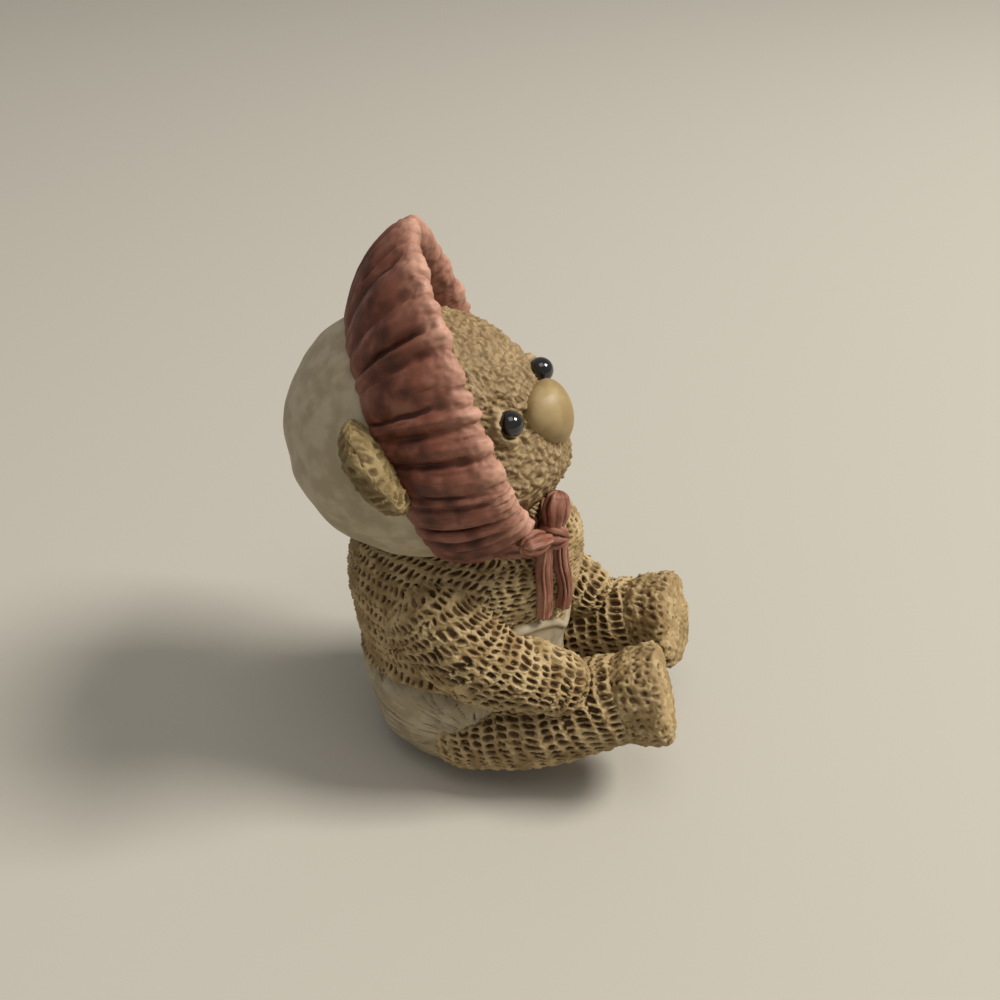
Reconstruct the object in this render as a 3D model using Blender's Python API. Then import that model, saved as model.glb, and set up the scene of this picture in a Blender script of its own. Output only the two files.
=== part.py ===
"""Seated bear figurine in a ruffled bonnet: the solid of every casting, in metres, facing -Y."""

import math

import bmesh
import bpy
from mathutils import Matrix, Vector

MM = 0.001

# Clearances and fineness
GAP = 0.3 * MM  # glue gap between a casting and the seat cut for it
SOCKET_GAP = 0.15 * MM  # play of a bead eye in its socket
ROUND_POINTS = 28  # points round a body or limb section
DOME = 5  # sections in a rounded end

# Torso and nappy
TORSO_WIDE = 10.6 * MM  # half width at the fullest place
TORSO_FRONT = 11.7 * MM  # from the seat's middle forward to the chest
TORSO_BACK = 14.6 * MM  # and back to the shoulder blades
TORSO_HIGH = 32.6 * MM
NAPPY_PLUS = 0.9 * MM  # how far the nappy stands out from the torso
NAPPY_SIDE = 12.8 * MM  # height of the waist edge at the sides
NAPPY_RISE = 21.0  # degrees that the waist edge climbs to the front

# Head, in its own frame turned about HEAD_AT
HEAD_AT = Vector((0, 5.1, 42.4)) * MM
HEAD_WIDE = 11.4 * MM
HEAD_LONG = 13.2 * MM
HEAD_TALL = 12.4 * MM
CHEEK = 3.0 * MM  # swelling of the cheeks below the eyes
FACE_TURN = -4.0  # degrees to the bear's left
FACE_UP = 12.0  # degrees up
EYE_APART = 5.3 * MM  # middle of the face to an eye
EYE_RISE = 2.9 * MM
EYE_RADIUS = 1.35 * MM
EYE_OUT = 0.3  # share of a bead's radius that its middle lies outside the head
MUZZLE_SIZE = Vector((5.0, 2.3, 3.5)) * MM
MUZZLE_RISE = 0.7 * MM
MUZZLE_POINT = 0.15  # width at the muzzle's lower tip, as a share of its width at the bridge

# Bonnet, in a frame of its own on the same place
BONNET_TURN = 18.0
BONNET_UP = 20.0
CAP_PLUS = 1.4 * MM  # how far the cap stands out from the head
CAP_EDGE = 2.2 * MM  # the cap's front edge, behind the middle of the head
GATHERS = 32  # gathers round the brim
CREASE_DEEP = 0.8 * MM  # depth of the deepest crease between two gathers
GATHER_PUFF = 0.25 * MM  # how far a gather stands up between its creases
BRIM_THICK = 2.2 * MM
BRIM_PUFF = 1.1 * MM  # outward swelling between the cap's edge and the rim
BRIM_WIDE = 14.0 * MM
BRIM_TOP = 19.2 * MM
BRIM_LOW = 13.0 * MM
BRIM_REACH = 8.4 * MM  # from the cap's edge forward to the rim
BRIM_SWEEP = 8.0  # degrees that a gather falls from the cap's edge to the rim, at the side of the head
BRIM_OPEN = 28.0  # degrees on each side of the chin where the brim is open
EAR_SIZE = Vector((4.6, 1.5, 5.0)) * MM
EAR_RISE = 20.0  # degrees above the middle of the head
EAR_LEAN = 12.0  # degrees that an ear leans back

# Ribbon
BOW_AT = Vector((-5.5, -9.7, 34.6)) * MM
BOW_LOOP = 4.4 * MM
BOW_TALL = 1.9 * MM
RIBBON_THICK = 0.7 * MM
RIBBON_WIDE = 1.5 * MM
TAIL_DROP = 9.2 * MM
TAIL_WIDE = 0.85 * MM
TAIL_SPREAD = 0.3 * MM
TAIL_BEHIND = 0.2 * MM  # a tail hangs this far behind the knot where the chest falls away
TAIL_FACE = Vector((0.5, 0.87, 0.0))  # the way into the chest behind the tails
KNOT_SIZE = Vector((1.2, 1.6, 1.4)) * MM
LOOP_WAYS = {"right": Vector((-0.75, 0.50, 0.22)), "left": Vector((0.50, 0.00, 0.87))}
LOOP_TALL = {"right": 0.62, "left": 0.95}  # height of each loop, as a share of BOW_TALL
TIE_ENDS = {"right": Vector((-2.2, 4.9, -0.4)) * MM, "left": Vector((7.6, 2.2, -1.6)) * MM}

# Limbs, for the bear's right side
HIP = Vector((-6.7, -1.0, 6.8)) * MM
KNEE = Vector((-6.7, -9.0, 9.0)) * MM
ANKLE = Vector((-5.6, -17.5, 13.0)) * MM
THIGH_THICK = 5.8 * MM
SHIN_THICK = 4.6 * MM
LEFT_OUT = 2.4 * MM  # how much further out the left foot lies than the right one
FOOT_AT = Vector((-5.3, -20.3, 13.8)) * MM
FOOT_SIZE = Vector((4.7, 3.9, 5.3)) * MM
FOOT_BLUNT = 3.0  # 1 for a round sole, more for a flatter one
FOOT_IN = 8.0  # degrees that a sole turns in
FOOT_UP = 15.0  # degrees that it tips up
TOE_CREASE = 0.5 * MM
SHOULDER = Vector((-7.4, 2.5, 23.4)) * MM
ELBOW = Vector((-9.2, -3.2, 19.4)) * MM
WRIST = Vector((-8.0, -11.4, 16.6)) * MM
SHOULDER_THICK = 6.6 * MM
ARM_THICK = 5.5 * MM
PAW_THICK = 3.4 * MM

PAINTS = {
    "knit_tan": ((0.50, 0.39, 0.24), 0.72),
    "cloth_white": ((0.62, 0.57, 0.47), 0.60),
    "ribbon_pink": ((0.42, 0.16, 0.14), 0.60),
    "muzzle_ochre": ((0.55, 0.41, 0.20), 0.50),
    "bead_black": ((0.012, 0.012, 0.014), 0.08),
}


def clear_scene():
    for thing in list(bpy.data.objects):
        bpy.data.objects.remove(thing)


def make_collection(name):
    made = bpy.data.collections.new(name)
    bpy.context.scene.collection.children.link(made)
    return made


def make_paint(name):
    colour, rough = PAINTS[name]
    paint = bpy.data.materials.new(name)
    paint.use_nodes = True
    shader = paint.node_tree.nodes["Principled BSDF"]
    shader.inputs["Base Color"].default_value = (*colour, 1.0)
    shader.inputs["Roughness"].default_value = rough
    shader.inputs["Metallic"].default_value = 0.0
    return paint


def smooth_run(stations, steps):
    """Stations joined by a smooth run of values, with steps sections to each span."""
    ends = [stations[0], *stations, stations[-1]]
    run = []
    for i in range(1, len(ends) - 2):
        before, start, end, after = ends[i - 1 : i + 3]
        for k in range(steps):
            t = k / steps
            run.append(
                tuple(
                    0.5 * (2 * b + (c - a) * t + (2 * a - 5 * b + 4 * c - d) * t * t
                           + (3 * b - a - 3 * c + d) * t ** 3)
                    for a, b, c, d in zip(before, start, end, after)
                )
            )
    run.append(tuple(stations[-1]))
    return run


def skin(name, rings, start, end):
    """A closed mesh over rings of points, each end drawn to one point."""
    mesh = bmesh.new()
    loops = [[mesh.verts.new(p) for p in ring] for ring in rings]
    count = len(loops[0])
    for low, high in zip(loops, loops[1:]):
        for k in range(count):
            j = (k + 1) % count
            mesh.faces.new((low[k], low[j], high[j], high[k]))
    first, last = mesh.verts.new(start), mesh.verts.new(end)
    for k in range(count):
        j = (k + 1) % count
        mesh.faces.new((first, loops[0][j], loops[0][k]))
        mesh.faces.new((last, loops[-1][k], loops[-1][j]))
    return finish(name, mesh)


def finish(name, mesh):
    """The mesh turned to face outward and made an object's data."""
    bmesh.ops.recalc_face_normals(mesh, faces=mesh.faces)
    if mesh.calc_volume(signed=True) < 0:
        bmesh.ops.reverse_faces(mesh, faces=mesh.faces)
    data = bpy.data.meshes.new(name)
    mesh.to_mesh(data)
    mesh.free()
    return data


def section(middle, side, rise, wide, tall, square, points):
    """One rounded section: square is 2 for an ellipse, more for a flatter outline."""
    ring = []
    for k in range(points):
        turn = 2 * math.pi * k / points
        c, s = math.cos(turn), math.sin(turn)
        x = math.copysign(abs(c) ** (2 / square), c) * wide
        y = math.copysign(abs(s) ** (2 / square), s) * tall
        ring.append(middle + side * x + rise * y)
    return ring


def swell(name, stations, start=1.0, end=1.0, square=2.0, points=ROUND_POINTS, steps=3, up=(0, 0, 1),
          level=False):
    """A body that swells and tapers along stations of (x, y, z, half width, half height).

    start and end are the depths of the rounded ends as a share of the section there; 0 leaves it flat.
    A level body keeps every section horizontal.
    """
    run = smooth_run(stations, steps)
    middles = [Vector(s[:3]) for s in run]
    rings = []
    for i, (middle, values) in enumerate(zip(middles, run)):
        ahead = middles[min(i + 1, len(run) - 1)] - middles[max(i - 1, 0)]
        ahead = Vector((0, 0, 1)) if level else ahead.normalized()
        side = ahead.cross(Vector(up)).normalized()
        rise = side.cross(ahead)
        depth = min(values[3:5])
        if i == 0 and start:
            for k in range(DOME - 1, 0, -1):
                bend = math.pi / 2 * k / DOME
                back = middle - ahead * depth * start * math.sin(bend)
                c = math.cos(bend)
                rings.append(section(back, side, rise, values[3] * c, values[4] * c, square, points))
            first = middle - ahead * depth * start
        elif i == 0:
            first = middle
        rings.append(section(middle, side, rise, values[3], values[4], square, points))
        if i == len(run) - 1:
            for k in range(1, DOME if end else 1):
                bend = math.pi / 2 * k / DOME
                on = middle + ahead * depth * end * math.sin(bend)
                c = math.cos(bend)
                rings.append(section(on, side, rise, values[3] * c, values[4] * c, square, points))
            last = middle + ahead * depth * end
    return skin(name, rings, first, last)


def ball(name, size, points=ROUND_POINTS, rings=16, shape=None):
    """An ellipsoid about its own middle, with an optional swelling of its surface."""
    mesh = bmesh.new()
    bmesh.ops.create_uvsphere(mesh, u_segments=points, v_segments=rings, radius=1.0)
    for vert in mesh.verts:
        place = Vector((vert.co.x * size[0], vert.co.y * size[1], vert.co.z * size[2]))
        vert.co = shape(vert.co.normalized(), place) if shape else place
    return finish(name, mesh)


def turned(place, turn, up):
    return (
        Matrix.Translation(place)
        @ Matrix.Rotation(math.radians(turn), 4, "Z")
        @ Matrix.Rotation(math.radians(-up), 4, "X")
    )


class Assembly:
    """Every casting, and the grown copies of castings that cut the seats in their neighbours."""

    def __init__(self):
        self.parts = make_collection("bear_figurine")
        self.cutters = make_collection("cutters")
        self.paints = {name: make_paint(name) for name in PAINTS}
        self.pieces = {}
        self.seats = {}
        self.root = self.axes("bear", None, Matrix.Identity(4))

    def axes(self, name, under, frame):
        """An empty that carries the pieces placed in its frame."""
        made = bpy.data.objects.new(name, None)
        made.empty_display_size = 5 * MM
        made.parent = under
        made.matrix_basis = frame
        self.parts.objects.link(made)
        return made

    def add(self, name, data, paint, *cut_by, under=None, frame=None):
        piece = bpy.data.objects.new(name, data)
        piece.data.materials.append(self.paints[paint])
        piece.parent = under or self.root
        piece.matrix_basis = frame or Matrix.Identity(4)
        self.parts.objects.link(piece)
        self.pieces[name] = piece
        for other in cut_by:
            self.cut(piece, self.seat(other))
        return piece

    def seat(self, name, gap=GAP):
        """The uncut shape of a casting in its place, grown by the gap."""
        if (name, gap) not in self.seats:
            piece = self.pieces[name]
            grown = self.helper(f"{name}_seat", piece.data.copy(), piece.parent, piece.matrix_basis)
            swelling = grown.modifiers.new("grow", "DISPLACE")
            swelling.mid_level = 0.0
            swelling.strength = gap
            self.seats[name, gap] = grown
        return self.seats[name, gap]

    def helper(self, name, data, under=None, frame=None):
        made = bpy.data.objects.new(name, data)
        made.parent = under or self.root
        made.matrix_basis = frame or Matrix.Identity(4)
        made.hide_render = True
        made.display_type = "WIRE"
        self.cutters.objects.link(made)
        return made

    def cut(self, piece, cutter):
        knife = piece.modifiers.new(cutter.name, "BOOLEAN")
        knife.operation = "DIFFERENCE"
        knife.solver = "EXACT"
        knife.object = cutter


def slab(name, size):
    """A plain block whose top face lies on its own XY plane."""
    mesh = bmesh.new()
    bmesh.ops.create_cube(mesh, size=size, matrix=Matrix.Translation((0, 0, -size / 2)))
    return finish(name, mesh)


# Rows of height, width, front and back, each as a share of the full torso
TORSO_ROWS = (
    (0.17, 0.66, 0.66, 0.54),
    (0.27, 0.90, 0.82, 0.78),
    (0.40, 1.00, 0.89, 0.89),
    (0.57, 1.00, 0.93, 0.96),
    (0.74, 0.97, 0.99, 1.00),
    (0.88, 0.88, 1.03, 0.91),
    (0.96, 0.74, 1.01, 0.66),
)
NAPPY_ROWS = (
    (0.00, 0.60, 0.55, 0.45),
    (0.035, 0.78, 0.70, 0.62),
    (0.13, 0.94, 0.82, 0.78),
    (0.30, 1.00, 0.88, 0.86),
    (0.48, 1.00, 0.91, 0.93),
    (0.66, 0.99, 0.97, 0.99),
)


def body_stations(rows, plus):
    """Level sections of the body from its rows, grown by plus."""
    stations = []
    for high, wide, front, back in rows:
        ahead, behind = (TORSO_FRONT + plus) * front, (TORSO_BACK + plus) * back
        middle = (0, (behind - ahead) / 2, high * TORSO_HIGH)
        stations.append((*middle, (TORSO_WIDE + plus) * wide, (behind + ahead) / 2))
    return stations


def chest(x, z):
    """How far forward the torso reaches at this width and height."""
    stations = body_stations(TORSO_ROWS, 0)
    for low, high in zip(stations, stations[1:]):
        if low[2] <= z <= high[2] or high is stations[-1]:
            t = min(1.0, (z - low[2]) / (high[2] - low[2]))
            _, y, _, wide, deep = (a + (b - a) * t for a, b in zip(low, high))
            return y - deep * math.sqrt(max(0.0, 1 - (x / wide) ** 2))
    return stations[0][1] - stations[0][4]


def build_body(toy):
    torso = swell("torso", body_stations(TORSO_ROWS, 0), 0.5, 0.5, steps=2, up=(0, 1, 0), level=True)
    toy.add("torso", torso, "knit_tan")
    cloth = swell("nappy", body_stations(NAPPY_ROWS, NAPPY_PLUS), 0, 0, steps=2, up=(0, 1, 0), level=True)
    nappy = toy.add("nappy", cloth, "cloth_white", "torso")
    waist = turned((0, 0, NAPPY_SIDE), 0, -180 + NAPPY_RISE)
    toy.cut(nappy, toy.helper("waist_cut", slab("waist_cut", 60 * MM), frame=waist))


def sided(place, side):
    return Vector((-place[0] * side, place[1], place[2]))


def toes(way, place):
    """Blunts the sole and presses the crease across it that parts the toes from the pad."""
    front = max(0.0, -way.y)
    blunt = (1 - (1 - front) ** FOOT_BLUNT) / front if front else 1.0
    fuller = 1 + 0.14 * math.sin(math.pi * front)
    crease = math.exp(-((way.z - 0.12) / 0.13) ** 2) * TOE_CREASE * min(1.0, 3 * front)
    return Vector((place.x * fuller, place.y * blunt * 0.8 + crease, place.z * fuller))


def leg_places(side):
    """Hip, knee, ankle and foot of one side; the left leg swings further out towards its foot."""
    places = [sided(p, side) for p in (HIP, KNEE, ANKLE, FOOT_AT)]
    for place, share in zip(places, (0.0, 0.85, 1.0, 1.0)):
        place.x += LEFT_OUT * share * max(0, side)
    return places


def build_limbs(toy):
    ground = toy.helper("ground_cut", slab("ground_cut", 80 * MM))
    for side, word in ((-1, "right"), (1, "left")):
        hip, knee, ankle, heel = leg_places(side)
        leg = swell(
            f"{word}_leg",
            [(*hip, THIGH_THICK * 0.96, THIGH_THICK), (*knee, THIGH_THICK * 0.92, THIGH_THICK),
             (*ankle, SHIN_THICK, SHIN_THICK)],
            end=0.6, steps=4,
        )
        made = toy.add(f"{word}_leg", leg, "knit_tan", "torso", "nappy")
        toy.cut(made, ground)
        foot = ball(f"{word}_foot", FOOT_SIZE, 24, 18, toes)
        sole = turned(heel, -FOOT_IN * side, FOOT_UP)
        toy.add(f"{word}_foot", foot, "knit_tan", f"{word}_leg", frame=sole)
        shoulder, elbow, wrist = (sided(p, side) for p in (SHOULDER, ELBOW, WRIST))
        arm = swell(
            f"{word}_arm",
            [(*shoulder, SHOULDER_THICK * 0.88, SHOULDER_THICK), (*elbow, ARM_THICK * 0.86, ARM_THICK),
             (*wrist, PAW_THICK * 1.1, PAW_THICK)],
            start=0.8, steps=4,
        )
        toy.add(f"{word}_arm", arm, "knit_tan", "torso", "nappy", f"{word}_leg")


def cheeks(way, place):
    """Swells the lower front of the head into cheeks and chin."""
    front = max(0.0, -way.y) ** 1.5
    low = math.exp(-((way.z + 0.45) / 0.39) ** 2)
    return place + Vector((way.x * 0.5, way.y, way.z * 0.4)) * CHEEK * front * low


def on_head(x, z):
    """A place on the front of the head at this distance from its middle, in its frame."""
    y = -HEAD_LONG * math.sqrt(max(0.0, 1 - (x / HEAD_WIDE) ** 2 - (z / HEAD_TALL) ** 2))
    flat = Vector((x / HEAD_WIDE, y / HEAD_LONG, z / HEAD_TALL)).normalized()
    return cheeks(flat, Vector((x, y, z)))


def snout(way, place):
    """Narrows the muzzle from its bridge to its lower tip, and bends it round the face."""
    share = MUZZLE_POINT + (1 - MUZZLE_POINT) * (way.z + 1) / 2
    x = place.x * share
    return Vector((x, place.y + x * x * HEAD_LONG / (2 * HEAD_WIDE ** 2), place.z))


def build_head(toy):
    face = toy.axes("face", toy.root, turned(HEAD_AT, FACE_TURN, FACE_UP))
    size = (HEAD_WIDE, HEAD_LONG, HEAD_TALL)
    head = toy.add("head", ball("head", size, 32, 22, cheeks), "knit_tan", "torso", under=face)
    for side, word in ((-1, "right"), (1, "left")):
        spot = on_head(EYE_APART * side, EYE_RISE)
        spot += spot.normalized() * EYE_RADIUS * EYE_OUT
        bead = ball(f"{word}_eye", [EYE_RADIUS] * 3, 20, 12)
        toy.add(f"{word}_eye", bead, "bead_black", under=face, frame=Matrix.Translation(spot))
        toy.cut(head, toy.seat(f"{word}_eye", SOCKET_GAP))
    tip = Matrix.Translation(on_head(0, MUZZLE_RISE))
    toy.add("muzzle", ball("muzzle", MUZZLE_SIZE, shape=snout), "muzzle_ochre", "head", under=face, frame=tip)


def cap_size():
    """Half sizes of the cap: what the turned head reaches along the bonnet's axes, and the cap's own part."""
    face = turned(HEAD_AT, FACE_TURN, FACE_UP).to_3x3()
    lean = turned(HEAD_AT, BONNET_TURN, BONNET_UP).to_3x3().transposed() @ face
    half = (HEAD_WIDE, HEAD_LONG, HEAD_TALL)
    return [math.sqrt(sum((row[k] * half[k]) ** 2 for k in range(3))) + CAP_PLUS for row in lean]


def build_bonnet(toy):
    bonnet = toy.axes("bonnet", toy.root, turned(HEAD_AT, BONNET_TURN, BONNET_UP))
    wide, long, tall = cap_size()
    body = ("torso", "left_arm", "right_arm")
    cap = toy.add("bonnet_cap", ball("bonnet_cap", (wide, long, tall), 32, 20), "cloth_white",
                  "head", *body, under=bonnet)
    front = Matrix.Translation((0, CAP_EDGE, 0)) @ Matrix.Rotation(math.radians(-90), 4, "X")
    toy.cut(cap, toy.helper("cap_cut", slab("cap_cut", 60 * MM), bonnet, front))
    toy.add("bonnet_ruffle", brim(wide, tall), "ribbon_pink", "head", "bonnet_cap", *body, under=bonnet)
    for side, word in ((-1, "right"), (1, "left")):
        up = math.radians(EAR_RISE)
        spot = Vector((math.cos(up) * wide * side, CAP_EDGE + EAR_SIZE.y * 0.6, math.sin(up) * tall))
        lean = Matrix.Rotation(math.radians(-EAR_LEAN), 4, "X")
        place = Matrix.Translation(spot) @ Matrix.Rotation(-up * side, 4, "Y") @ lean
        toy.add(f"{word}_ear", ball(f"{word}_ear", EAR_SIZE, 24, 14), "knit_tan",
                "head", "bonnet_cap", "bonnet_ruffle", under=bonnet, frame=place)


def gather(k):
    """Where the crease before gather k lies round the brim, from 0 to 1, and how deep it is."""
    return (k + 0.5 + 0.25 * math.sin(2.4 * k)) / GATHERS, 0.6 + 0.4 * math.sin(1.7 * k)


def brim_sections():
    """Places round the brim with the rise of a gather or the fall of a crease there."""
    sections = [(0.0, 1.0)]
    for k in range(GATHERS):
        at, deep = gather(k)
        beside = gather(k + 1)[0] if k + 1 < GATHERS else 1.0
        fall = -CREASE_DEEP / GATHER_PUFF * deep
        near = 0.2 / GATHERS
        sections += [(at - near, 0.2), (at, fall), (at + near, 0.2), ((at + beside) / 2, 1.0)]
    return [*sections[:-1], (1.0, 1.0)]


def brim(wide, tall):
    """The gathered brim: a thick flaring ring whose creases run from the cap's edge to a rolled rim."""
    half = math.radians(180 - BRIM_OPEN)
    mesh = bmesh.new()
    loops = []
    for share, rise in brim_sections():
        turn = half * (2 * share - 1)
        s, c = math.sin(turn), math.cos(turn)
        base = Vector((s * (wide - BRIM_THICK * 0.3), CAP_EDGE, c * (tall - BRIM_THICK * 0.3)))
        end = turn + math.radians(BRIM_SWEEP) * s * (1 + c)
        reach = BRIM_TOP if math.cos(end) > 0 else BRIM_LOW
        rim = Vector((math.sin(end) * BRIM_WIDE, CAP_EDGE - BRIM_REACH, math.cos(end) * reach))
        out = Vector((s, 0.35, c)).normalized()
        loop = []
        for along, thick, crease in ((0.0, 0.8, 0.3), (0.35, 0.9, 0.9), (0.7, 1.0, 1.0), (1.0, 1.1, 0.5)):
            lift = rise * GATHER_PUFF * crease + BRIM_PUFF * math.sin(math.pi * along)
            loop.append(base.lerp(rim, along) + out * (BRIM_THICK * 0.5 * thick + lift))
        loop.append(rim + (rim - base).normalized() * (BRIM_THICK * 0.45 + rise * GATHER_PUFF * 0.3))
        for along, thick in ((1.0, 1.0), (0.7, 1.0), (0.35, 0.9), (0.0, 0.8)):
            loop.append(base.lerp(rim, along) - out * (BRIM_THICK * 0.5 * thick - rise * GATHER_PUFF * 0.3))
        loops.append([mesh.verts.new(p) for p in loop])
    for this, following in zip(loops, loops[1:]):
        for i in range(len(this)):
            j = (i + 1) % len(this)
            mesh.faces.new((this[i], this[j], following[j], following[i]))
    mesh.faces.new(loops[0])
    mesh.faces.new(loops[-1])
    return finish("bonnet_ruffle", mesh)


def build_ribbon(toy):
    solid = ("torso", "head", "bonnet_ruffle")
    knot = ball("bow_knot", KNOT_SIZE, 18, 12)
    toy.add("bow_knot", knot, "ribbon_pink", *solid, frame=Matrix.Translation(BOW_AT))
    across = Vector((TAIL_FACE.y, -TAIL_FACE.x, 0))
    for side, word in ((-1, "right"), (1, "left")):
        way = LOOP_WAYS[word].normalized()
        tall = BOW_TALL * LOOP_TALL[word]
        loop = swell(
            f"bow_{word}_loop",
            [(*(BOW_AT + way * KNOT_SIZE.x * 0.6), tall * 0.5, KNOT_SIZE.y * 0.5),
             (*(BOW_AT + way * BOW_LOOP * 0.6), tall, KNOT_SIZE.y * 0.85),
             (*(BOW_AT + way * BOW_LOOP * 0.9), tall * 0.8, KNOT_SIZE.y * 0.7)],
            points=18, end=0.6, up=(0, 1, 0),
        )
        toy.add(f"bow_{word}_loop", loop, "ribbon_pink", *solid, "bow_knot")
        run = []
        for t in (0.0, 0.35, 0.7, 1.0):
            aside = across * side * (TAIL_WIDE + GAP * 0.6 + TAIL_SPREAD * t)
            spot = BOW_AT + aside - Vector((0, 0, KNOT_SIZE.z * 0.5 + TAIL_DROP * t))
            spot.y = min(spot.y + TAIL_BEHIND, chest(spot.x, spot.z) - RIBBON_THICK * 0.8)
            run.append((*spot, TAIL_WIDE, RIBBON_THICK))
        tail = swell(f"{word}_ribbon_tail", run, points=16, square=3, start=0.4, end=0.3, up=TAIL_FACE)
        toy.add(f"{word}_ribbon_tail", tail, "ribbon_pink", "torso", "nappy", "bow_knot",
                f"bow_{word}_loop")
        start = BOW_AT + Vector((side * KNOT_SIZE.x * 0.6, KNOT_SIZE.y * 0.5, -0.5 * MM))
        end = BOW_AT + TIE_ENDS[word]
        tie = swell(
            f"{word}_chin_tie",
            [(*place, RIBBON_THICK, RIBBON_WIDE) for place in (end, start.lerp(end, 0.5), start)],
            points=16, square=3, start=0.4, end=0.3,
        )
        toy.add(f"{word}_chin_tie", tie, "ribbon_pink", *solid, "bow_knot", f"bow_{word}_loop",
                f"{word}_ribbon_tail")


def main():
    clear_scene()
    toy = Assembly()
    build_body(toy)
    build_limbs(toy)
    build_head(toy)
    build_bonnet(toy)
    build_ribbon(toy)


main()
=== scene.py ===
"""Looks of the seated bear figurine: the sculpted surface and the paint of every casting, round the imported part."""

import logging
import math
from collections.abc import Callable
from dataclasses import dataclass, fields, replace
from enum import Enum

import bpy
import numpy as np
from mathutils import Matrix, Vector


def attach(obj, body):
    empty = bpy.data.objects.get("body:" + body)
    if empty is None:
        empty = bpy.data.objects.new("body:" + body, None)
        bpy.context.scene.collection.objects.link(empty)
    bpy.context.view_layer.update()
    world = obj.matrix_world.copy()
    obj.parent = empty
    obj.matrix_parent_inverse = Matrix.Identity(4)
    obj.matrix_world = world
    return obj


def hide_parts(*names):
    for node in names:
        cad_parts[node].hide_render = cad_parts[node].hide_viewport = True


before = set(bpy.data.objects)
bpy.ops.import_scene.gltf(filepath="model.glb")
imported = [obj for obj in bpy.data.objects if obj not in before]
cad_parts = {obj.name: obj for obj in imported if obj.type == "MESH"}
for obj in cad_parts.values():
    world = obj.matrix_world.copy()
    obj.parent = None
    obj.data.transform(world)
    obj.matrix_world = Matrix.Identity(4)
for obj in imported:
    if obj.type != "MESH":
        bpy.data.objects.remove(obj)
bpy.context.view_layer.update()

log = logging.getLogger("bear_figurine")
MM = 0.001
BODY = "root"
COVERED_PITCH = 0.8  # mm between the rows of a skin that other pieces cover
STATION_ROWS = 60  # rows to a station of a form, and to the dome at its end
TABLE_FADE = (0.05, 0.9)  # mm above the table between which a relief comes up

Socket = bpy.types.NodeSocket
Point = tuple[float, float, float]
Tone = tuple[int, int, int]
Shape = Callable[[np.ndarray, np.ndarray], np.ndarray]


class Side(Enum):
    """The bear's own sides, with the sign of x there."""

    RIGHT = -1
    LEFT = 1

    @property
    def word(self) -> str:
        """The side's name as the CAD nodes spell it."""
        return self.name.lower()

    def place(self, point: Point) -> np.ndarray:
        """A point given for the right side, moved to this one."""
        return np.array((-point[0] * self.value, point[1], point[2]))

    def pick(self, right: object, left: object) -> object:
        """What belongs to this side."""
        return right if self is Side.RIGHT else left


class Slot(Enum):
    """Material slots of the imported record."""

    KNIT = "knit"
    WHITE = "white_cloth"
    PINK = "pink_cloth"
    MUZZLE = "muzzle"
    BEAD = "bead"


# Node trees


class Value:
    """What a node puts out. A number among them can be reckoned with, and each step adds a node."""

    def __init__(self, wires: "Wires", socket: Socket) -> None:
        """Keeps the output and the wires of its tree."""
        self.wires, self.socket = wires, socket

    def __add__(self, other: "Number") -> "Value":
        """The sum."""
        return self.wires.math("ADD", self, other)

    def __sub__(self, other: "Number") -> "Value":
        """What is left after taking other away."""
        return self.wires.math("SUBTRACT", self, other)

    def __rsub__(self, other: float) -> "Value":
        """What this leaves of other."""
        return self.wires.math("SUBTRACT", other, self)

    def __mul__(self, other: "Number") -> "Value":
        """The product."""
        return self.wires.math("MULTIPLY", self, other)

    def __truediv__(self, other: "Number") -> "Value":
        """The quotient."""
        return self.wires.math("DIVIDE", self, other)

    def __pow__(self, power: float) -> "Value":
        """The power."""
        return self.wires.math("POWER", self, power)

    def __abs__(self) -> "Value":
        """The value without its sign."""
        return self.wires.math("ABSOLUTE", self)

    def whole(self) -> "Value":
        """The whole number below."""
        return self.wires.math("FLOOR", self)

    def part(self) -> "Value":
        """What lies above the whole number below."""
        return self.wires.math("FRACT", self)

    def at_least(self, other: "Number") -> "Value":
        """The larger of the two."""
        return self.wires.math("MAXIMUM", self, other)

    def at_most(self, other: "Number") -> "Value":
        """The smaller of the two."""
        return self.wires.math("MINIMUM", self, other)

    def step(self, low: "Number", high: "Number") -> "Value":
        """A smooth step from 0 at low to 1 at high."""
        ends = {"Value": self, "From Min": low, "From Max": high}
        return self.wires.value("ShaderNodeMapRange", ends, "Result", interpolation_type="SMOOTHSTEP")


Number = Value | float


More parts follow.
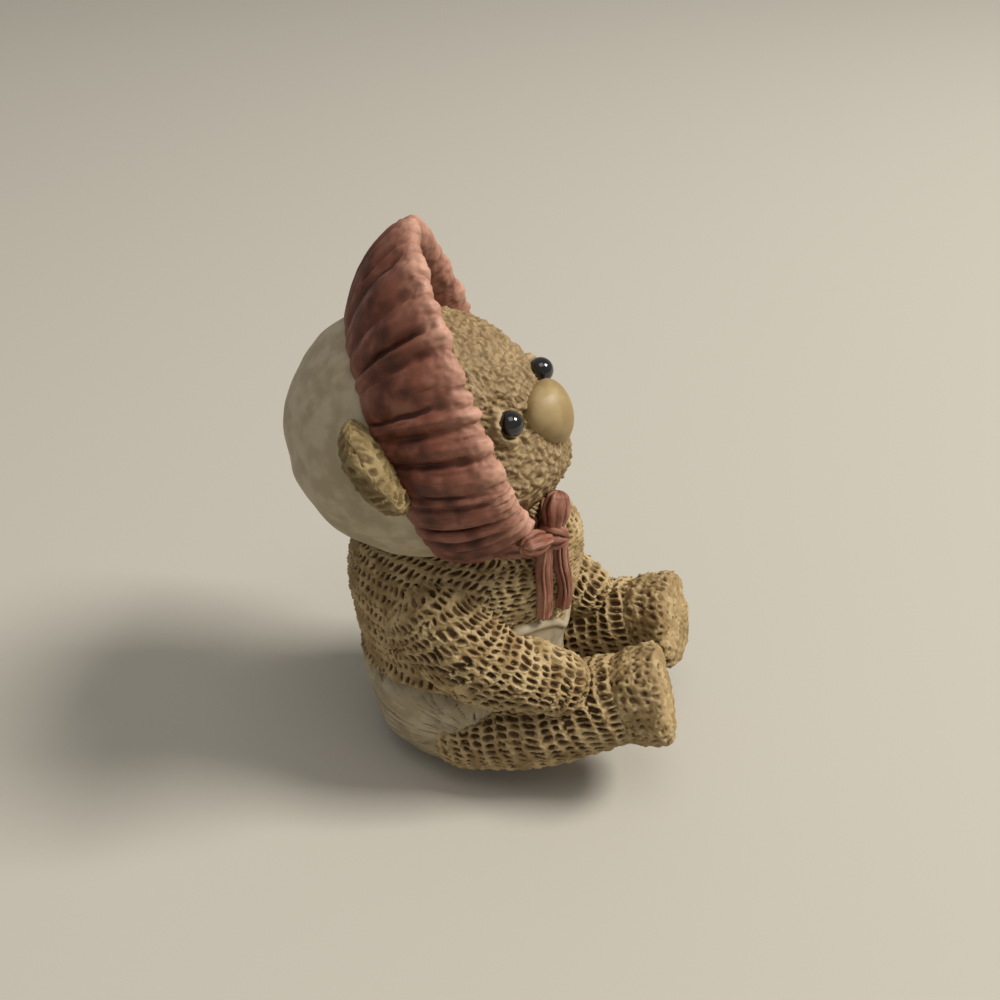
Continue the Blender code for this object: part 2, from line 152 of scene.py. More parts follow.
class Wires:
    """Adds nodes to one tree and joins them."""

    def __init__(self, tree: bpy.types.NodeTree) -> None:
        """Keeps the tree that the nodes go into."""
        self.tree = tree

    def feed(self, socket: Socket, value: object) -> None:
        """Links a socket to an output, or sets its own value.

        Args:
            socket: The input.
            value: What it gets.
        """
        source = value.socket if isinstance(value, Value) else value
        if isinstance(source, Socket):
            self.tree.links.new(source, socket)
        else:
            socket.default_value = source

    def node(self, kind: str, values: dict | None = None, **settings: object) -> bpy.types.Node:
        """Adds one node.

        Args:
            kind: The node's type name.
            values: What each input gets, by name or number.
            settings: The node's own options.

        Returns:
            The node.
        """
        made = self.tree.nodes.new(kind)
        for key, setting in settings.items():
            setattr(made, key, setting)
        for key, value in (values or {}).items():
            self.feed(made.inputs[key], value)
        return made

    def value(self, kind: str, values: dict | None = None, output: int | str = 0, **settings: object) -> Value:
        """One output of a new node."""
        return Value(self, self.node(kind, values, **settings).outputs[output])

    def math(self, operation: str, *values: Number) -> Value:
        """The result of one math node."""
        return self.value("ShaderNodeMath", dict(enumerate(values)), operation=operation)

    def scaled(self, vector: Value, scale: Number) -> Value:
        """A vector times a number."""
        return self.value("ShaderNodeVectorMath", {0: vector, "Scale": scale}, operation="SCALE")

    def joined(self, *parts: Number) -> Value:
        """A place from its numbers."""
        return self.value("ShaderNodeCombineXYZ", dict(enumerate(parts)))

    def split(self, whole: Value) -> tuple[Value, ...]:
        """The three numbers of a place or a colour."""
        return tuple(Value(self, socket) for socket in self.node("ShaderNodeSeparateXYZ", {0: whole}).outputs)

    def mix(self, share: Number, first: object, second: object) -> Value:
        """Two colours mixed by a share of the second."""
        return self.value("ShaderNodeMix", {0: share, 6: first, 7: second}, 2, data_type="RGBA")

    def cloud(self, place: Value, scale: Number, detail: float) -> Value:
        """Soft noise from 0 to 1."""
        return self.value("ShaderNodeTexNoise", {"Vector": place, "Scale": scale, "Detail": detail}, "Fac")

    def chance(self, *parts: Number) -> tuple[Value, ...]:
        """Three random numbers for a whole-numbered place."""
        return self.split(self.value("ShaderNodeTexWhiteNoise", {"Vector": self.joined(*parts)}, "Color"))


class Group(Wires):
    """A node group with named inputs and outputs."""

    def __init__(self, name: str, kind: str, inputs: dict[str, str], outputs: dict[str, str]) -> None:
        """Makes the group with its sockets and nothing between them.

        Args:
            name: The group's name.
            kind: The tree's type name.
            inputs: Socket types by input name.
            outputs: Socket types by output name.
        """
        super().__init__(bpy.data.node_groups.new(name, kind))
        for words, way in ((inputs, "INPUT"), (outputs, "OUTPUT")):
            for socket, socket_type in words.items():
                self.tree.interface.new_socket(socket, in_out=way, socket_type=f"NodeSocket{socket_type}")
        self.given = {socket.name: Value(self, socket) for socket in self.node("NodeGroupInput").outputs}
        self.out = self.node("NodeGroupOutput").inputs


class ReliefTree(Group):
    """A geometry tree that presses a relief into a surface along its normals.

    The surface carries an attribute "lay": where each point lies in the pattern, and how strong the pattern is.
    The tree leaves an attribute "pit": how deep in the relief a point lies, from 0 to 1, for the paint.
    The relief fades out at the table, so that the underside stays flat.
    """

    name = "relief"
    knobs: tuple[str, ...] = ()

    def __init__(self) -> None:
        """Builds the tree once."""
        sockets = {"Geometry": "Geometry", **dict.fromkeys(self.knobs, "Float"), "Finish": "Material"}
        super().__init__(self.name, "GeometryNodeTree", sockets, {"Geometry": "Geometry"})
        lay = self.value("GeometryNodeInputNamedAttribute", {"Name": "lay"}, data_type="FLOAT_VECTOR")
        self.lay = self.split(lay)
        self.place = self.scaled(self.value("GeometryNodeInputPosition"), 1 / MM)
        pit, lift = self.relief()
        lift = lift * self.split(self.place)[2].step(*TABLE_FADE) * MM
        geometry = self.given["Geometry"]
        for kind, values in (
            ("GeometryNodeSetPosition", {"Offset": self.scaled(self.value("GeometryNodeInputNormal"), lift)}),
            ("GeometryNodeStoreNamedAttribute", {"Name": "pit", "Value": pit}),
            ("GeometryNodeSetShadeSmooth", {}),
            ("GeometryNodeRealizeInstances", {}),
            ("GeometryNodeSetMaterial", {"Material": self.given["Finish"]}),
        ):
            geometry = self.value(kind, {"Geometry": geometry, **values})
        self.feed(self.out["Geometry"], geometry)

    def noise(self, place: Value, by: float, scale: Number, detail: float = 2.0) -> Value:
        """Noise about zero, from about -0.5 to 0.5.

        Args:
            place: Where it is read, before the seed moves it.
            by: How much further than the seed it is moved.
            scale: How fine it is.
            detail: How many finer layers it has.

        Returns:
            The noise.
        """
        far = self.given["Seed"] + by
        moved = self.value("ShaderNodeVectorMath", {0: place, 1: self.joined(far, far, far)}, operation="ADD")
        return self.cloud(moved, scale, detail) - 0.5

    def relief(self) -> tuple[Value, Value]:
        """The depth mask and the offset along the normal, in mm."""
        raise NotImplementedError

    def press(self, piece: bpy.types.Object, values: dict[str, float], finish: bpy.types.Material) -> None:
        """Presses the relief into a piece and keeps the result as its plain mesh.

        Args:
            piece: An object whose mesh carries "lay".
            values: The tree's inputs by name.
            finish: The material set on every face.
        """
        modifier = piece.modifiers.new(self.name, "NODES")
        modifier.node_group = self.tree
        given = {**values, "Finish": finish}
        for item in self.tree.interface.items_tree:
            if item.name in given and item.in_out == "INPUT":
                modifier[item.identifier] = given[item.name]
        bpy.context.view_layer.update()
        graph = bpy.context.evaluated_depsgraph_get()
        baked = bpy.data.meshes.new_from_object(piece.evaluated_get(graph), depsgraph=graph)
        piece.modifiers.remove(modifier)
        old, piece.data = piece.data, baked
        bpy.data.meshes.remove(old)
        baked.name = piece.name


class KnitTree(ReliefTree):
    """Rounds of knitted stitches: rows of pits with raised yarn between them."""

    name = "knit_relief"
    knobs = ("Depth", "Raised", "Lip", "Pit Long", "Pit Wide", "Slant", "Waver", "Uneven", "Grain", "Crumple",
             "Wash", "Seed")
    square = 2.6  # 2 makes a pit an oval, more makes it squarer
    pit_wall = (0.4, 1.04)  # where the wall of a pit starts and ends, as shares of its reach
    knot_wall = (0.05, 0.45)  # the same for the knot that fills some pits
    knot_chance = (0.7, 0.84)
    knot_fill = 0.6
    lip_at, lip_wide = 0.92, 0.34
    lip_side = (-0.08, 0.22)  # the lip comes up on this side of a pit
    lip_clean = 2.5  # how far a lip stands out of the wash
    strand_wide = 0.1
    low_wash, slack_wash = 0.45, 0.62  # the most wash in low places and between strands

    def stray(self, by: float) -> Value:
        """How far the pattern wanders here, slowly and quickly.

        Args:
            by: Keeps one noise apart from another.

        Returns:
            The shift, in stitches.
        """
        slow = self.noise(self.place, by, 0.2, 1.0) * 1.7
        quick = self.noise(self.place, by + 5, 0.7, 2.0) * 0.75
        return (slow + quick) * self.given["Waver"]

    def relief(self) -> tuple[Value, Value]:
        """Pits in a lattice of rounds and stitches, uneven as handwork is, and crumpled yarn over them.

        Returns:
            How deep a point lies, for the wash, and its lift in mm.
        """
        given, strong = self.given, self.lay[2]
        row = self.lay[0] + self.stray(0)
        ring, across = row.whole(), row.part() - 0.5
        start, slope, _ = self.chance(ring, given["Seed"], 3.0)
        course = self.lay[1] + self.stray(31) + start
        course = course + across * (slope * 3.0 - 1.0) * given["Slant"]
        stitch, beside = course.whole(), course.part() - 0.5
        small, shallow, aside = self.chance(ring, stitch, given["Seed"])
        off = (aside - 0.5) * (given["Uneven"] * 0.4)
        long = abs(across) / given["Pit Long"]
        wide = abs(beside + off) / given["Pit Wide"]
        reach = (long * 2.0) ** self.square + (wide * 2.0) ** self.square
        far = reach ** (1 / self.square) / (1.0 - small * given["Uneven"])
        knot = (1.0 - far.step(*self.knot_wall)) * aside.step(*self.knot_chance)
        pit = (1.0 - far.step(*self.pit_wall)) * (1.0 - knot * self.knot_fill) * (1.0 - shallow * given["Uneven"])
        rim = 1.0 - abs(far - self.lip_at).step(0.0, self.lip_wide)
        lip = rim * across.step(*self.lip_side) * given["Lip"] * strong
        pit = (pit + (1.0 - pit * 2.0) * given["Raised"]) * strong
        lumps = self.noise(self.place, 7, 1.3, 3.0)
        wavy = abs(self.noise(self.place, 17, 0.7, 0.5))
        strand = (1.0 - wavy.step(0.0, self.strand_wide)) * given["Crumple"]
        lift = lumps * given["Grain"] + strand + lip - pit * given["Depth"]
        slack = given["Crumple"] * 2.0 - strand * 2.0
        low = ((lumps * -1.0).step(0.0, 0.28) * self.low_wash).at_least(slack.at_most(self.slack_wash))
        bare = pit.at_least(low) - lip * self.lip_clean
        return bare.at_least(0.0) * given["Wash"], lift


class FoldTree(ReliefTree):
    """Soft creases that run with the lay of a cloth, with the marks of a brush over them."""

    name = "fold_relief"
    knobs = ("Depth", "Fine Depth", "Fineness", "Lumps", "Stain", "Wander", "Seed")
    crease_wide = 0.06
    crease_places = (-0.02, 0.12)  # noise values between which creases come up
    streak_wall = (0.0, 0.3)
    crease_stain = 6.0  # how soon the depth of a crease shows in the wash

    def relief(self) -> tuple[Value, Value]:
        """Long noise along the lay: creases, and fine streaks.

        Returns:
            How deep a point lies, for the wash, and its lift in mm.
        """
        given, strong = self.given, self.lay[2]
        astray = self.noise(self.place, 3, 0.16, 1.0) * given["Wander"]
        flat = self.joined(self.lay[0] + astray, self.lay[1] - astray)
        broad = abs(self.noise(flat, 0, 1.0, 1.0))
        places = self.noise(self.place, 11, 0.22, 1.0).step(*self.crease_places)
        crease = (1.0 - broad.step(0.0, self.crease_wide)) * places * strong
        streak = self.noise(flat, 19, given["Fineness"], 3.0).step(*self.streak_wall)
        shown = (given["Depth"] * self.crease_stain).at_most(1.0)
        pit = (crease * shown).at_least(streak * given["Stain"] * strong)
        cut = crease * given["Depth"] + streak * strong * given["Fine Depth"]
        return pit, self.noise(self.place, 27, 0.15, 1.5) * given["Lumps"] - cut


class GatherTree(ReliefTree):
    """Gathers of a frill: creases of random length from its root to its rim, and dimples behind the rim."""

    name = "gather_relief"
    knobs = ("Depth", "Crease Wide", "Plump", "Dimple", "Fine", "Dull", "Ragged", "Waver", "Seed")
    fade = 0.2  # over this share of the way from root to rim a crease starts and ends
    dimple_at, dimple_long, dimple_wide = 0.88, (0.02, 0.13), (0.02, 0.24)
    dimple_chance = (0.35, 0.7)
    # Painted shade on the outer face: where it is deepest between root and rim, and how far it reaches.
    dull_at, dull_long = 0.45, (0.12, 0.5)
    rim_start = (0.8, 1.02)
    fine_across = 3.2
    smooth_grain = 0.12

    def relief(self) -> tuple[Value, Value]:
        """Creases between plump gathers, dimples behind the rim, and painted shade in cloudy patches between root and
        rim.

        Returns:
            How deep a point lies, for the wash, and its lift in mm.
        """
        given, (order, along, strong) = self.given, self.lay
        turn = order + self.noise(self.place, 0, 0.35) * given["Waver"]
        gather, apart = turn.whole(), abs(turn.part() - 0.5)
        _, early, late = self.chance(gather, given["Seed"], 1.0)
        deep, dented, _ = self.chance(gather, given["Seed"], 2.0)
        begin, ending = early * 0.45, late * 0.4 + 0.5
        inside = along.step(begin - self.fade, begin) * (1.0 - along.step(ending, ending + self.fade))
        crease = (1.0 - apart.step(0.0, given["Crease Wide"])) * inside * (deep * 0.75 + 0.25)
        behind = 1.0 - abs(along - self.dimple_at).step(*self.dimple_long)
        dimple = (1.0 - apart.step(*self.dimple_wide)) * behind * dented.step(*self.dimple_chance)
        fine = self.noise(self.joined(turn * self.fine_across, along), 13, 1.6, 3.0).step(0.0, 0.3)
        # Painted shade: the middle of the brim's outer face is darkened through the wash, in cloudy patches.
        belly = 1.0 - abs(along - self.dull_at).step(*self.dull_long)
        clouds = self.noise(self.place, 23, 0.5, 3.0).step(-0.2, 0.16)
        painted_shade = belly * clouds * (given["Dull"] * strong)
        pit = (crease.at_least(dimple * 0.45) * strong).at_least(fine * 0.5).at_least(painted_shade)
        cut = (crease * given["Depth"] + dimple * given["Dimple"]) * strong + fine * given["Fine"]
        ragged = along.step(*self.rim_start) * given["Ragged"] + self.smooth_grain
        grain = self.noise(self.place, 5, 1.1, 3.0) * ragged
        return pit, grain + (apart * 2.0) ** 2.0 * given["Plump"] - cut


# Paint


def paint_colour(tone: Tone) -> tuple[float, float, float, float]:
    """A colour given as it shows on a screen, in the linear values that a shader reads.

    Args:
        tone: Red, green and blue from 0 to 255.

    Returns:
        Linear red, green and blue, and an alpha of 1.
    """

    def straight(value: int) -> float:
        """One channel without its screen curve."""
        share = value / 255
        return share / 12.92 if share <= 0.04045 else ((share + 0.055) / 1.055) ** 2.4

    return (*(straight(value) for value in tone), 1.0)


class Effects:
    """Shader groups that several paints share; each cloud has a scale per metre and a detail."""

    patches = (160.0, 3.0)
    brush_marks = (420.0, 2.0)
    pools = (300.0, 2.0)
    fine_grain = (5200.0, 3.0)
    broad_grain = (700.0, 2.0)

    def __init__(self) -> None:
        """Builds each group once."""
        self.wash = self.build_wash()
        self.grain = self.build_grain()

    def build_wash(self) -> bpy.types.NodeTree:
        """Brown wash left in the hollows, dry-brushed light on what stands up, painted highlights where a piece asks
        for them, and a mottled coat between.

        Returns:
            The group's tree.
        """
        sockets = {"Place": "Vector", **dict.fromkeys(("Coat", "Light", "Wash", "Stain"), "Color"),
                   **dict.fromkeys(("Pit", "Mottle", "Brush", "Strength", "Tint"), "Float")}
        w = Group("antique_wash", "ShaderNodeTree", sockets, {"Colour": "Color"})
        given, place, pit = w.given, w.given["Place"], w.given["Pit"]
        patches = w.cloud(place, *self.patches).step(0.42, 0.68)
        coat = w.mix(patches * given["Mottle"], given["Coat"], given["Stain"])
        brushed = (1.0 - pit.step(0.0, 0.3)) * w.cloud(place, *self.brush_marks).step(0.36, 0.62)
        # A piece's own highlight value also pales the coat towards the light colour: a painted highlight.
        coat = w.mix((brushed * given["Brush"]).at_least(given["Tint"]), coat, given["Light"])
        pooled = w.cloud(place, *self.pools) * 0.7 + 0.62
        hollow = (pit.step(0.1, 0.76) * given["Strength"] * pooled).at_most(1.0)
        w.feed(w.out["Colour"], w.mix(hollow, coat, given["Wash"]))
        return w.tree

    def build_grain(self) -> bpy.types.NodeTree:
        """Fine casting grain as a height, and a roughness that changes with a broader one.

        Returns:
            The group's tree.
        """
        sockets = {"Place": "Vector", "Rough": "Float", "Spread": "Float"}
        w = Group("casting_grain", "ShaderNodeTree", sockets, {"Height": "Float", "Roughness": "Float"})
        w.feed(w.out["Height"], w.cloud(w.given["Place"], *self.fine_grain))
        change = (w.cloud(w.given["Place"], *self.broad_grain) - 0.5) * w.given["Spread"]
        w.feed(w.out["Roughness"], w.given["Rough"] + change)
        return w.tree


class Coating(Wires):
    """A new material: its tree, its shader and the place on the piece."""

    def __init__(self, name: str) -> None:
        """Makes the material with its shader.

        Args:
            name: The material's name.
        """
        self.material = bpy.data.materials.new(name)
        self.material.use_nodes = True
        super().__init__(self.material.node_tree)
        self.shader = self.tree.nodes["Principled BSDF"]

    def place(self) -> Value:
        """Where a point lies on the object."""
        return self.value("ShaderNodeTexCoord", output="Object")

    def dress(self, values: dict[str, object]) -> bpy.types.Material:
        """Feeds the shader's inputs.

        Args:
            values: What each input gets, by name.

        Returns:
            The material.
        """
        for name, value in values.items():
            self.feed(self.shader.inputs[name], value)
        return self.material


@dataclass(frozen=True)
class AgedPaint:
    """A matt painted casting with a wash in its hollows."""

    name: str
    slot: Slot
    coat: Tone
    light: Tone
    wash: Tone
    stain: Tone
    mottle: float = 0.5
    brush: float = 0.85
    strength: float = 0.9
    rough: float = 0.66
    spread: float = 0.3
    grain: float = 0.15
    grain_high: float = 0.1
    specular: float = 0.35

    def material(self, effects: Effects) -> bpy.types.Material:
        """Mixes the paint.

        Args:
            effects: The shared shader groups.

        Returns:
            The material.
        """
        w = Coating(self.name)
        place = w.place()
        inputs = {"Place": place, "Mottle": self.mottle, "Brush": self.brush, "Strength": self.strength}
        inputs |= {key.title(): paint_colour(getattr(self, key)) for key in ("coat", "light", "wash", "stain")}
        inputs |= {key.title(): w.value("ShaderNodeAttribute", output="Fac", attribute_name=key)
                   for key in ("pit", "tint")}
        wash = w.value("ShaderNodeGroup", inputs, "Colour", node_tree=effects.wash)
        grain = w.node("ShaderNodeGroup", {"Place": place, "Rough": self.rough, "Spread": self.spread},
                       node_tree=effects.grain).outputs
        bump = w.value("ShaderNodeBump", {"Height": grain["Height"], "Strength": self.grain,
                                          "Distance": self.grain_high * MM})
        return w.dress({"Base Color": wash, "Roughness": grain["Roughness"], "Normal": bump,
                        "Specular IOR Level": self.specular})


@dataclass(frozen=True)
class BeadGloss:
    """Black glass of a bead, with a faint brown cast."""

    name: str = "bead_black"
    slot: Slot = Slot.BEAD
    dark: Tone = (14, 13, 15)
    cast: Tone = (34, 28, 26)
    rough: float = 0.07
    spread: float = 0.06
    clear_coat: float = 0.6
    coat_rough: float = 0.05

    def material(self, effects: Effects) -> bpy.types.Material:
        """Mixes the gloss.

        Args:
            effects: The shared shader groups.

        Returns:
            The material.
        """
        w = Coating(self.name)
        place = w.place()
        share = w.cloud(place, 900.0, 2.0).step(0.45, 0.75)
        rough = w.value("ShaderNodeGroup", {"Place": place, "Rough": self.rough, "Spread": self.spread}, "Roughness",
                        node_tree=effects.grain)
        return w.dress({"Base Color": w.mix(share, paint_colour(self.dark), paint_colour(self.cast)),
                        "Roughness": rough, "Coat Weight": self.clear_coat, "Coat Roughness": self.coat_rough})


KNIT_PAINT = AgedPaint("knit_tan", Slot.KNIT, (148, 123, 82), (188, 165, 122), (68, 44, 12), (128, 102, 62),
                       strength=1.0)
FACE_PAINT = AgedPaint("face_tan", Slot.KNIT, (150, 127, 90), (176, 154, 116), (92, 68, 38), (136, 111, 74))
# The ears' paint is the knit paint made darker: painted shade, for ears that lie in shadow behind the brim.
EAR_SHADED_PAINT = AgedPaint("ear_olive", Slot.KNIT, (120, 101, 62), (148, 129, 88), (74, 54, 26), (106, 86, 50))
WHITE_PAINT = AgedPaint("cloth_white", Slot.WHITE, (160, 146, 119), (180, 167, 141), (106, 89, 62), (146, 131, 103),
                        mottle=0.35, strength=0.5, rough=0.55)
NAPPY_PAINT = AgedPaint("nappy_white", Slot.WHITE, (156, 141, 113), (188, 176, 150), (90, 72, 44), (142, 126, 97),
                        mottle=0.35, brush=0.6, strength=0.9, rough=0.6)
PINK_PAINT = AgedPaint("ruffle_pink", Slot.PINK, (120, 69, 52), (186, 141, 119), (54, 26, 15), (100, 55, 39),
                       brush=0.22, strength=0.9, rough=0.55)
RIBBON_PAINT = AgedPaint("ribbon_pink", Slot.PINK, (130, 81, 62), (176, 129, 106), (60, 31, 19), (112, 66, 49),
                         brush=0.5, strength=0.9, rough=0.55)
MUZZLE_PAINT = AgedPaint("muzzle_ochre", Slot.MUZZLE, (150, 127, 85), (164, 142, 100), (112, 88, 50), (138, 114, 72),
                         strength=0.4, rough=0.5)
BEAD_GLOSS = BeadGloss()
PAINTS = (KNIT_PAINT, FACE_PAINT, EAR_SHADED_PAINT, WHITE_PAINT, NAPPY_PAINT, PINK_PAINT, RIBBON_PAINT, MUZZLE_PAINT,
          BEAD_GLOSS)
Paint = AgedPaint | BeadGloss


# Forms, in mm


def turned(place: Point, turn: float, up: float) -> np.ndarray:
    """A frame at a place, turned about Z and then tipped up.

    Args:
        place: The frame's origin in mm.
        turn: Degrees about Z.
        up: Degrees that its -Y axis tips up.

    Returns:
        A 4 by 4 matrix.
    """
    return np.array(
        Matrix.Translation(Vector(place))
        @ Matrix.Rotation(math.radians(turn), 4, "Z")
        @ Matrix.Rotation(math.radians(-up), 4, "X")
    )


def placed(points: np.ndarray, matrix: np.ndarray) -> np.ndarray:
    """Points of a frame as points of the object."""
    return points @ matrix[:3, :3].T + matrix[:3, 3]


def unit(vectors: np.ndarray) -> np.ndarray:
    """Vectors of length 1."""
    return vectors / np.maximum(np.linalg.norm(vectors, axis=-1, keepdims=True), 1e-9)


def soft_step(low: float, high: float, value: np.ndarray) -> np.ndarray:
    """A smooth step of value from 0 at low to 1 at high."""
    share = np.clip((value - low) / (high - low), 0, 1)
    return share * share * (3 - 2 * share)


def bell(value: np.ndarray, middle: float, wide: float) -> np.ndarray:
    """A bell of value, 1 at its middle."""
    return np.exp(-(((value - middle) / wide) ** 2))


def round_angles(columns: int) -> np.ndarray:
    """Angles of the points in a ring, in radians."""
    return 2 * math.pi * np.arange(columns) / columns


def tip_to_tip(count: int, tip: float = 0.02) -> np.ndarray:
    """Angles of the rings of a ball, in radians, with a small tip left to close at each end."""
    return np.linspace(tip, math.pi - tip, count)


def laid(*parts: np.ndarray | float) -> np.ndarray:
    """The two places in a pattern and its strength, for every point of a surface."""
    return np.stack(np.broadcast_arrays(*parts), axis=-1)


def smooth_run(stations: np.ndarray, count: int, ring: bool = False) -> np.ndarray:
    """A smooth run of values through stations.

    Args:
        stations: One row per station.
        count: How many samples to take.
        ring: Whether the last station leads back to the first.

    Returns:
        One row per sample.
    """
    stations = np.asarray(stations, float)
    spans = len(stations) - (0 if ring else 1)
    t = np.linspace(0, spans, count, endpoint=not ring)
    i = np.minimum(t.astype(int), spans - 1)
    t = (t - i)[:, None]
    pick = [(i + k) % len(stations) if ring else np.clip(i + k, 0, len(stations) - 1) for k in (-1, 0, 1, 2)]
    a, b, c, d = (stations[p] for p in pick)
    return 0.5 * (2 * b + (c - a) * t + (2 * a - 5 * b + 4 * c - d) * t**2 + (3 * b - a - 3 * c + d) * t**3)


def marks_between(length: float, pitch: float, low: float = 0.0, high: float | None = None) -> np.ndarray:
    """Distances along a skin, fine where it shows and coarse where it is covered.

    Args:
        length: The whole length.
        pitch: Spacing where it shows.
        low: Where the fine part starts.
        high: Where it ends; the whole length unless given.

    Returns:
        The distances.
    """
    high = length if high is None else high
    first = pitch * 0.6
    parts = [np.arange(first, low, COVERED_PITCH), np.arange(max(low, first), high, pitch),
             np.arange(high, length - pitch * 0.5, COVERED_PITCH)]
    return np.concatenate([p for p in parts if len(p)])


def ball_rings(size: Point, angles: np.ndarray, columns: int,
               shape: Shape | None = None) -> tuple[np.ndarray, np.ndarray, np.ndarray]:
    """Rings of an ellipsoid about its -Y axis.

    Args:
        size: Half sizes in mm.
        angles: Angle of each ring from the -Y axis, in radians.
        columns: Points in a ring; the first lies at the bottom.
        shape: A change of the surface from directions and places.

    Returns:
        The rings, how far along the skin each lies, and its length.
    """
    turn = round_angles(columns)
    ring = np.stack([np.sin(turn), np.zeros(columns), -np.cos(turn)], axis=-1)
    way = np.sin(angles)[:, None, None] * ring - np.cos(angles)[:, None, None] * np.array((0, 1, 0))
    points = way * np.array(size)
    if shape:
        points = shape(way, points)
    steps = np.linalg.norm(np.diff(points, axis=0), axis=-1).mean(1)
    girth = np.linalg.norm(points - np.roll(points, 1, axis=1), axis=-1).sum(1)
    return points, np.concatenate([[0], np.cumsum(steps)]) + angles[0] * float(np.mean(size)), girth


@dataclass
class Grid:
    """A closed surface of rings, with its place in the relief and how much paler its paint is made where a highlight
    is painted.

    It is drawn to one point at each end: the middle of the outer ring, unless ends are given.
    """

    rings: np.ndarray
    lay: np.ndarray
    tint: np.ndarray | float = 0.0
    ends: tuple[np.ndarray, np.ndarray] | None = None

    def mesh(self, name: str) -> bpy.types.Mesh:
        """The surface as a mesh that faces outward, in metres.

        Args:
            name: The mesh's name.

        Returns:
            The mesh, with the attributes "lay" and "tint".
        """
        rows, columns = self.rings.shape[:2]
        ends = self.ends or (self.rings[0].mean(0), self.rings[-1].mean(0))
        points = np.concatenate([self.rings.reshape(-1, 3), ends])
        index = np.arange(rows * columns).reshape(rows, columns)
        beside = np.roll(index, -1, axis=1)
        quads = np.stack([index[:-1], beside[:-1], beside[1:], index[1:]], axis=-1).reshape(-1, 4)
        start = np.stack([np.full(columns, rows * columns), beside[0], index[0]], axis=-1)
        end = np.stack([np.full(columns, rows * columns + 1), index[-1], beside[-1]], axis=-1)
        corners = points[quads]
        volume = sum(np.einsum("ij,ij->i", corners[:, 0], np.cross(corners[:, k], corners[:, k + 1])).sum()
                     for k in (1, 2))
        faces = [*quads.tolist(), *start.tolist(), *end.tolist()]
        if volume < 0:
            faces = [face[::-1] for face in faces]
        made = bpy.data.meshes.new(name)
        made.from_pydata((points * MM).tolist(), [], faces)
        lay = np.concatenate([self.lay.reshape(-1, 3), [self.lay[0].mean(0), self.lay[-1].mean(0)]])
        made.attributes.new("lay", "FLOAT_VECTOR", "POINT").data.foreach_set("vector", lay.astype(np.float32).ravel())
        tint = np.zeros(len(points), np.float32)
        tint[: rows * columns] = np.broadcast_to(self.tint, (rows, columns)).ravel()
        made.attributes.new("tint", "FLOAT", "POINT").data.foreach_set("value", tint)
        made.update()
        return made


@dataclass
class Rows:
    """Sections along a form: their middles, two axes and half sizes."""

    middle: np.ndarray
    side: np.ndarray
    rise: np.ndarray
    wide: np.ndarray
    tall: np.ndarray

    @classmethod
    def through(cls, stations: list, start: float = 1.0, end: float = 1.0, up: Point = (0, 0, 1),
                level: bool = False) -> "Rows":
        """Sections through stations of (x, y, z, half width, half height), with rounded ends.

        Args:
            stations: The stations in mm.
            start: Depth of the first end as a share of its section.
            end: Depth of the last end.
            up: The direction that the sections' height follows.
            level: Whether every section is horizontal.

        Returns:
            Closely spaced rows.
        """
        run = smooth_run(np.array(stations), STATION_ROWS * len(stations))
        middle, wide, tall = run[:, :3], run[:, 3], run[:, 4]
        ahead = unit(np.gradient(middle, axis=0))
        if level:
            ahead[:] = (0, 0, 1)
        bend = np.linspace(0, math.pi / 2, STATION_ROWS)[1:]
        for at, way, depth in ((0, -1, start), (-1, 1, end)):
            on = middle[at] + way * ahead[at] * min(wide[at], tall[at]) * depth * np.sin(bend)[:, None]
            dome = (on, np.repeat(ahead[at][None], len(bend), 0), wide[at] * np.cos(bend), tall[at] * np.cos(bend))
            middle, ahead, wide, tall = (
                np.concatenate([more[::-1], old] if at == 0 else [old, more])
                for more, old in zip(dome, (middle, ahead, wide, tall))
            )
        side = unit(np.cross(ahead, np.array(up, float)))
        return cls(middle, side, np.cross(side, ahead), wide, tall)

    @property
    def along(self) -> np.ndarray:
        """How far along the skin each section lies.

        Returns:
            The distances, as the mean of four lines.
        """
        lines = [self.middle + axis * half[:, None] * s
                 for axis, half in ((self.side, self.wide), (self.rise, self.tall)) for s in (-1, 1)]
        steps = np.mean([np.linalg.norm(np.diff(line, axis=0), axis=1) for line in lines], axis=0)
        return np.concatenate([[0], np.cumsum(steps)])

    @property
    def girth(self) -> np.ndarray:
        """Length round each section."""
        return 2 * math.pi * np.sqrt((self.wide**2 + self.tall**2) / 2)

    def spaced(self, marks: np.ndarray) -> "Rows":
        """Rows at given distances along the skin.

        Args:
            marks: The distances.

        Returns:
            One row for each mark.
        """
        along = self.along

        def at(values: np.ndarray) -> np.ndarray:
            """Values between the rows."""
            if values.ndim == 1:
                return np.interp(marks, along, values)
            return np.stack([np.interp(marks, along, column) for column in values.T], axis=1)

        return Rows(at(self.middle), unit(at(self.side)), unit(at(self.rise)), at(self.wide), at(self.tall))

    def rings(self, columns: int, square: float = 2.0, seam: float = -90.0) -> np.ndarray:
        """Points round every section.

        Args:
            columns: Points in a ring.
            square: 2 for an ellipse, more for a flatter outline.
            seam: Degrees from the section's side axis to its first point.

        Returns:
            An array of rows, columns and x, y, z.
        """
        turn = round_angles(columns) + math.radians(seam)
        x, y = (np.sign(share) * np.abs(share) ** (2 / square) * half[:, None]
                for share, half in ((np.cos(turn), self.wide), (np.sin(turn), self.tall)))
        return self.middle[:, None] + x[..., None] * self.side[:, None] + y[..., None] * self.rise[:, None]


# Reliefs


@dataclass(frozen=True)
class Relief:
    """Inputs of a relief tree."""

    def values(self) -> dict[str, float]:
        """The inputs by the names that the tree gives them."""
        return {item.name.replace("_", " ").title(): float(getattr(self, item.name)) for item in fields(self)}


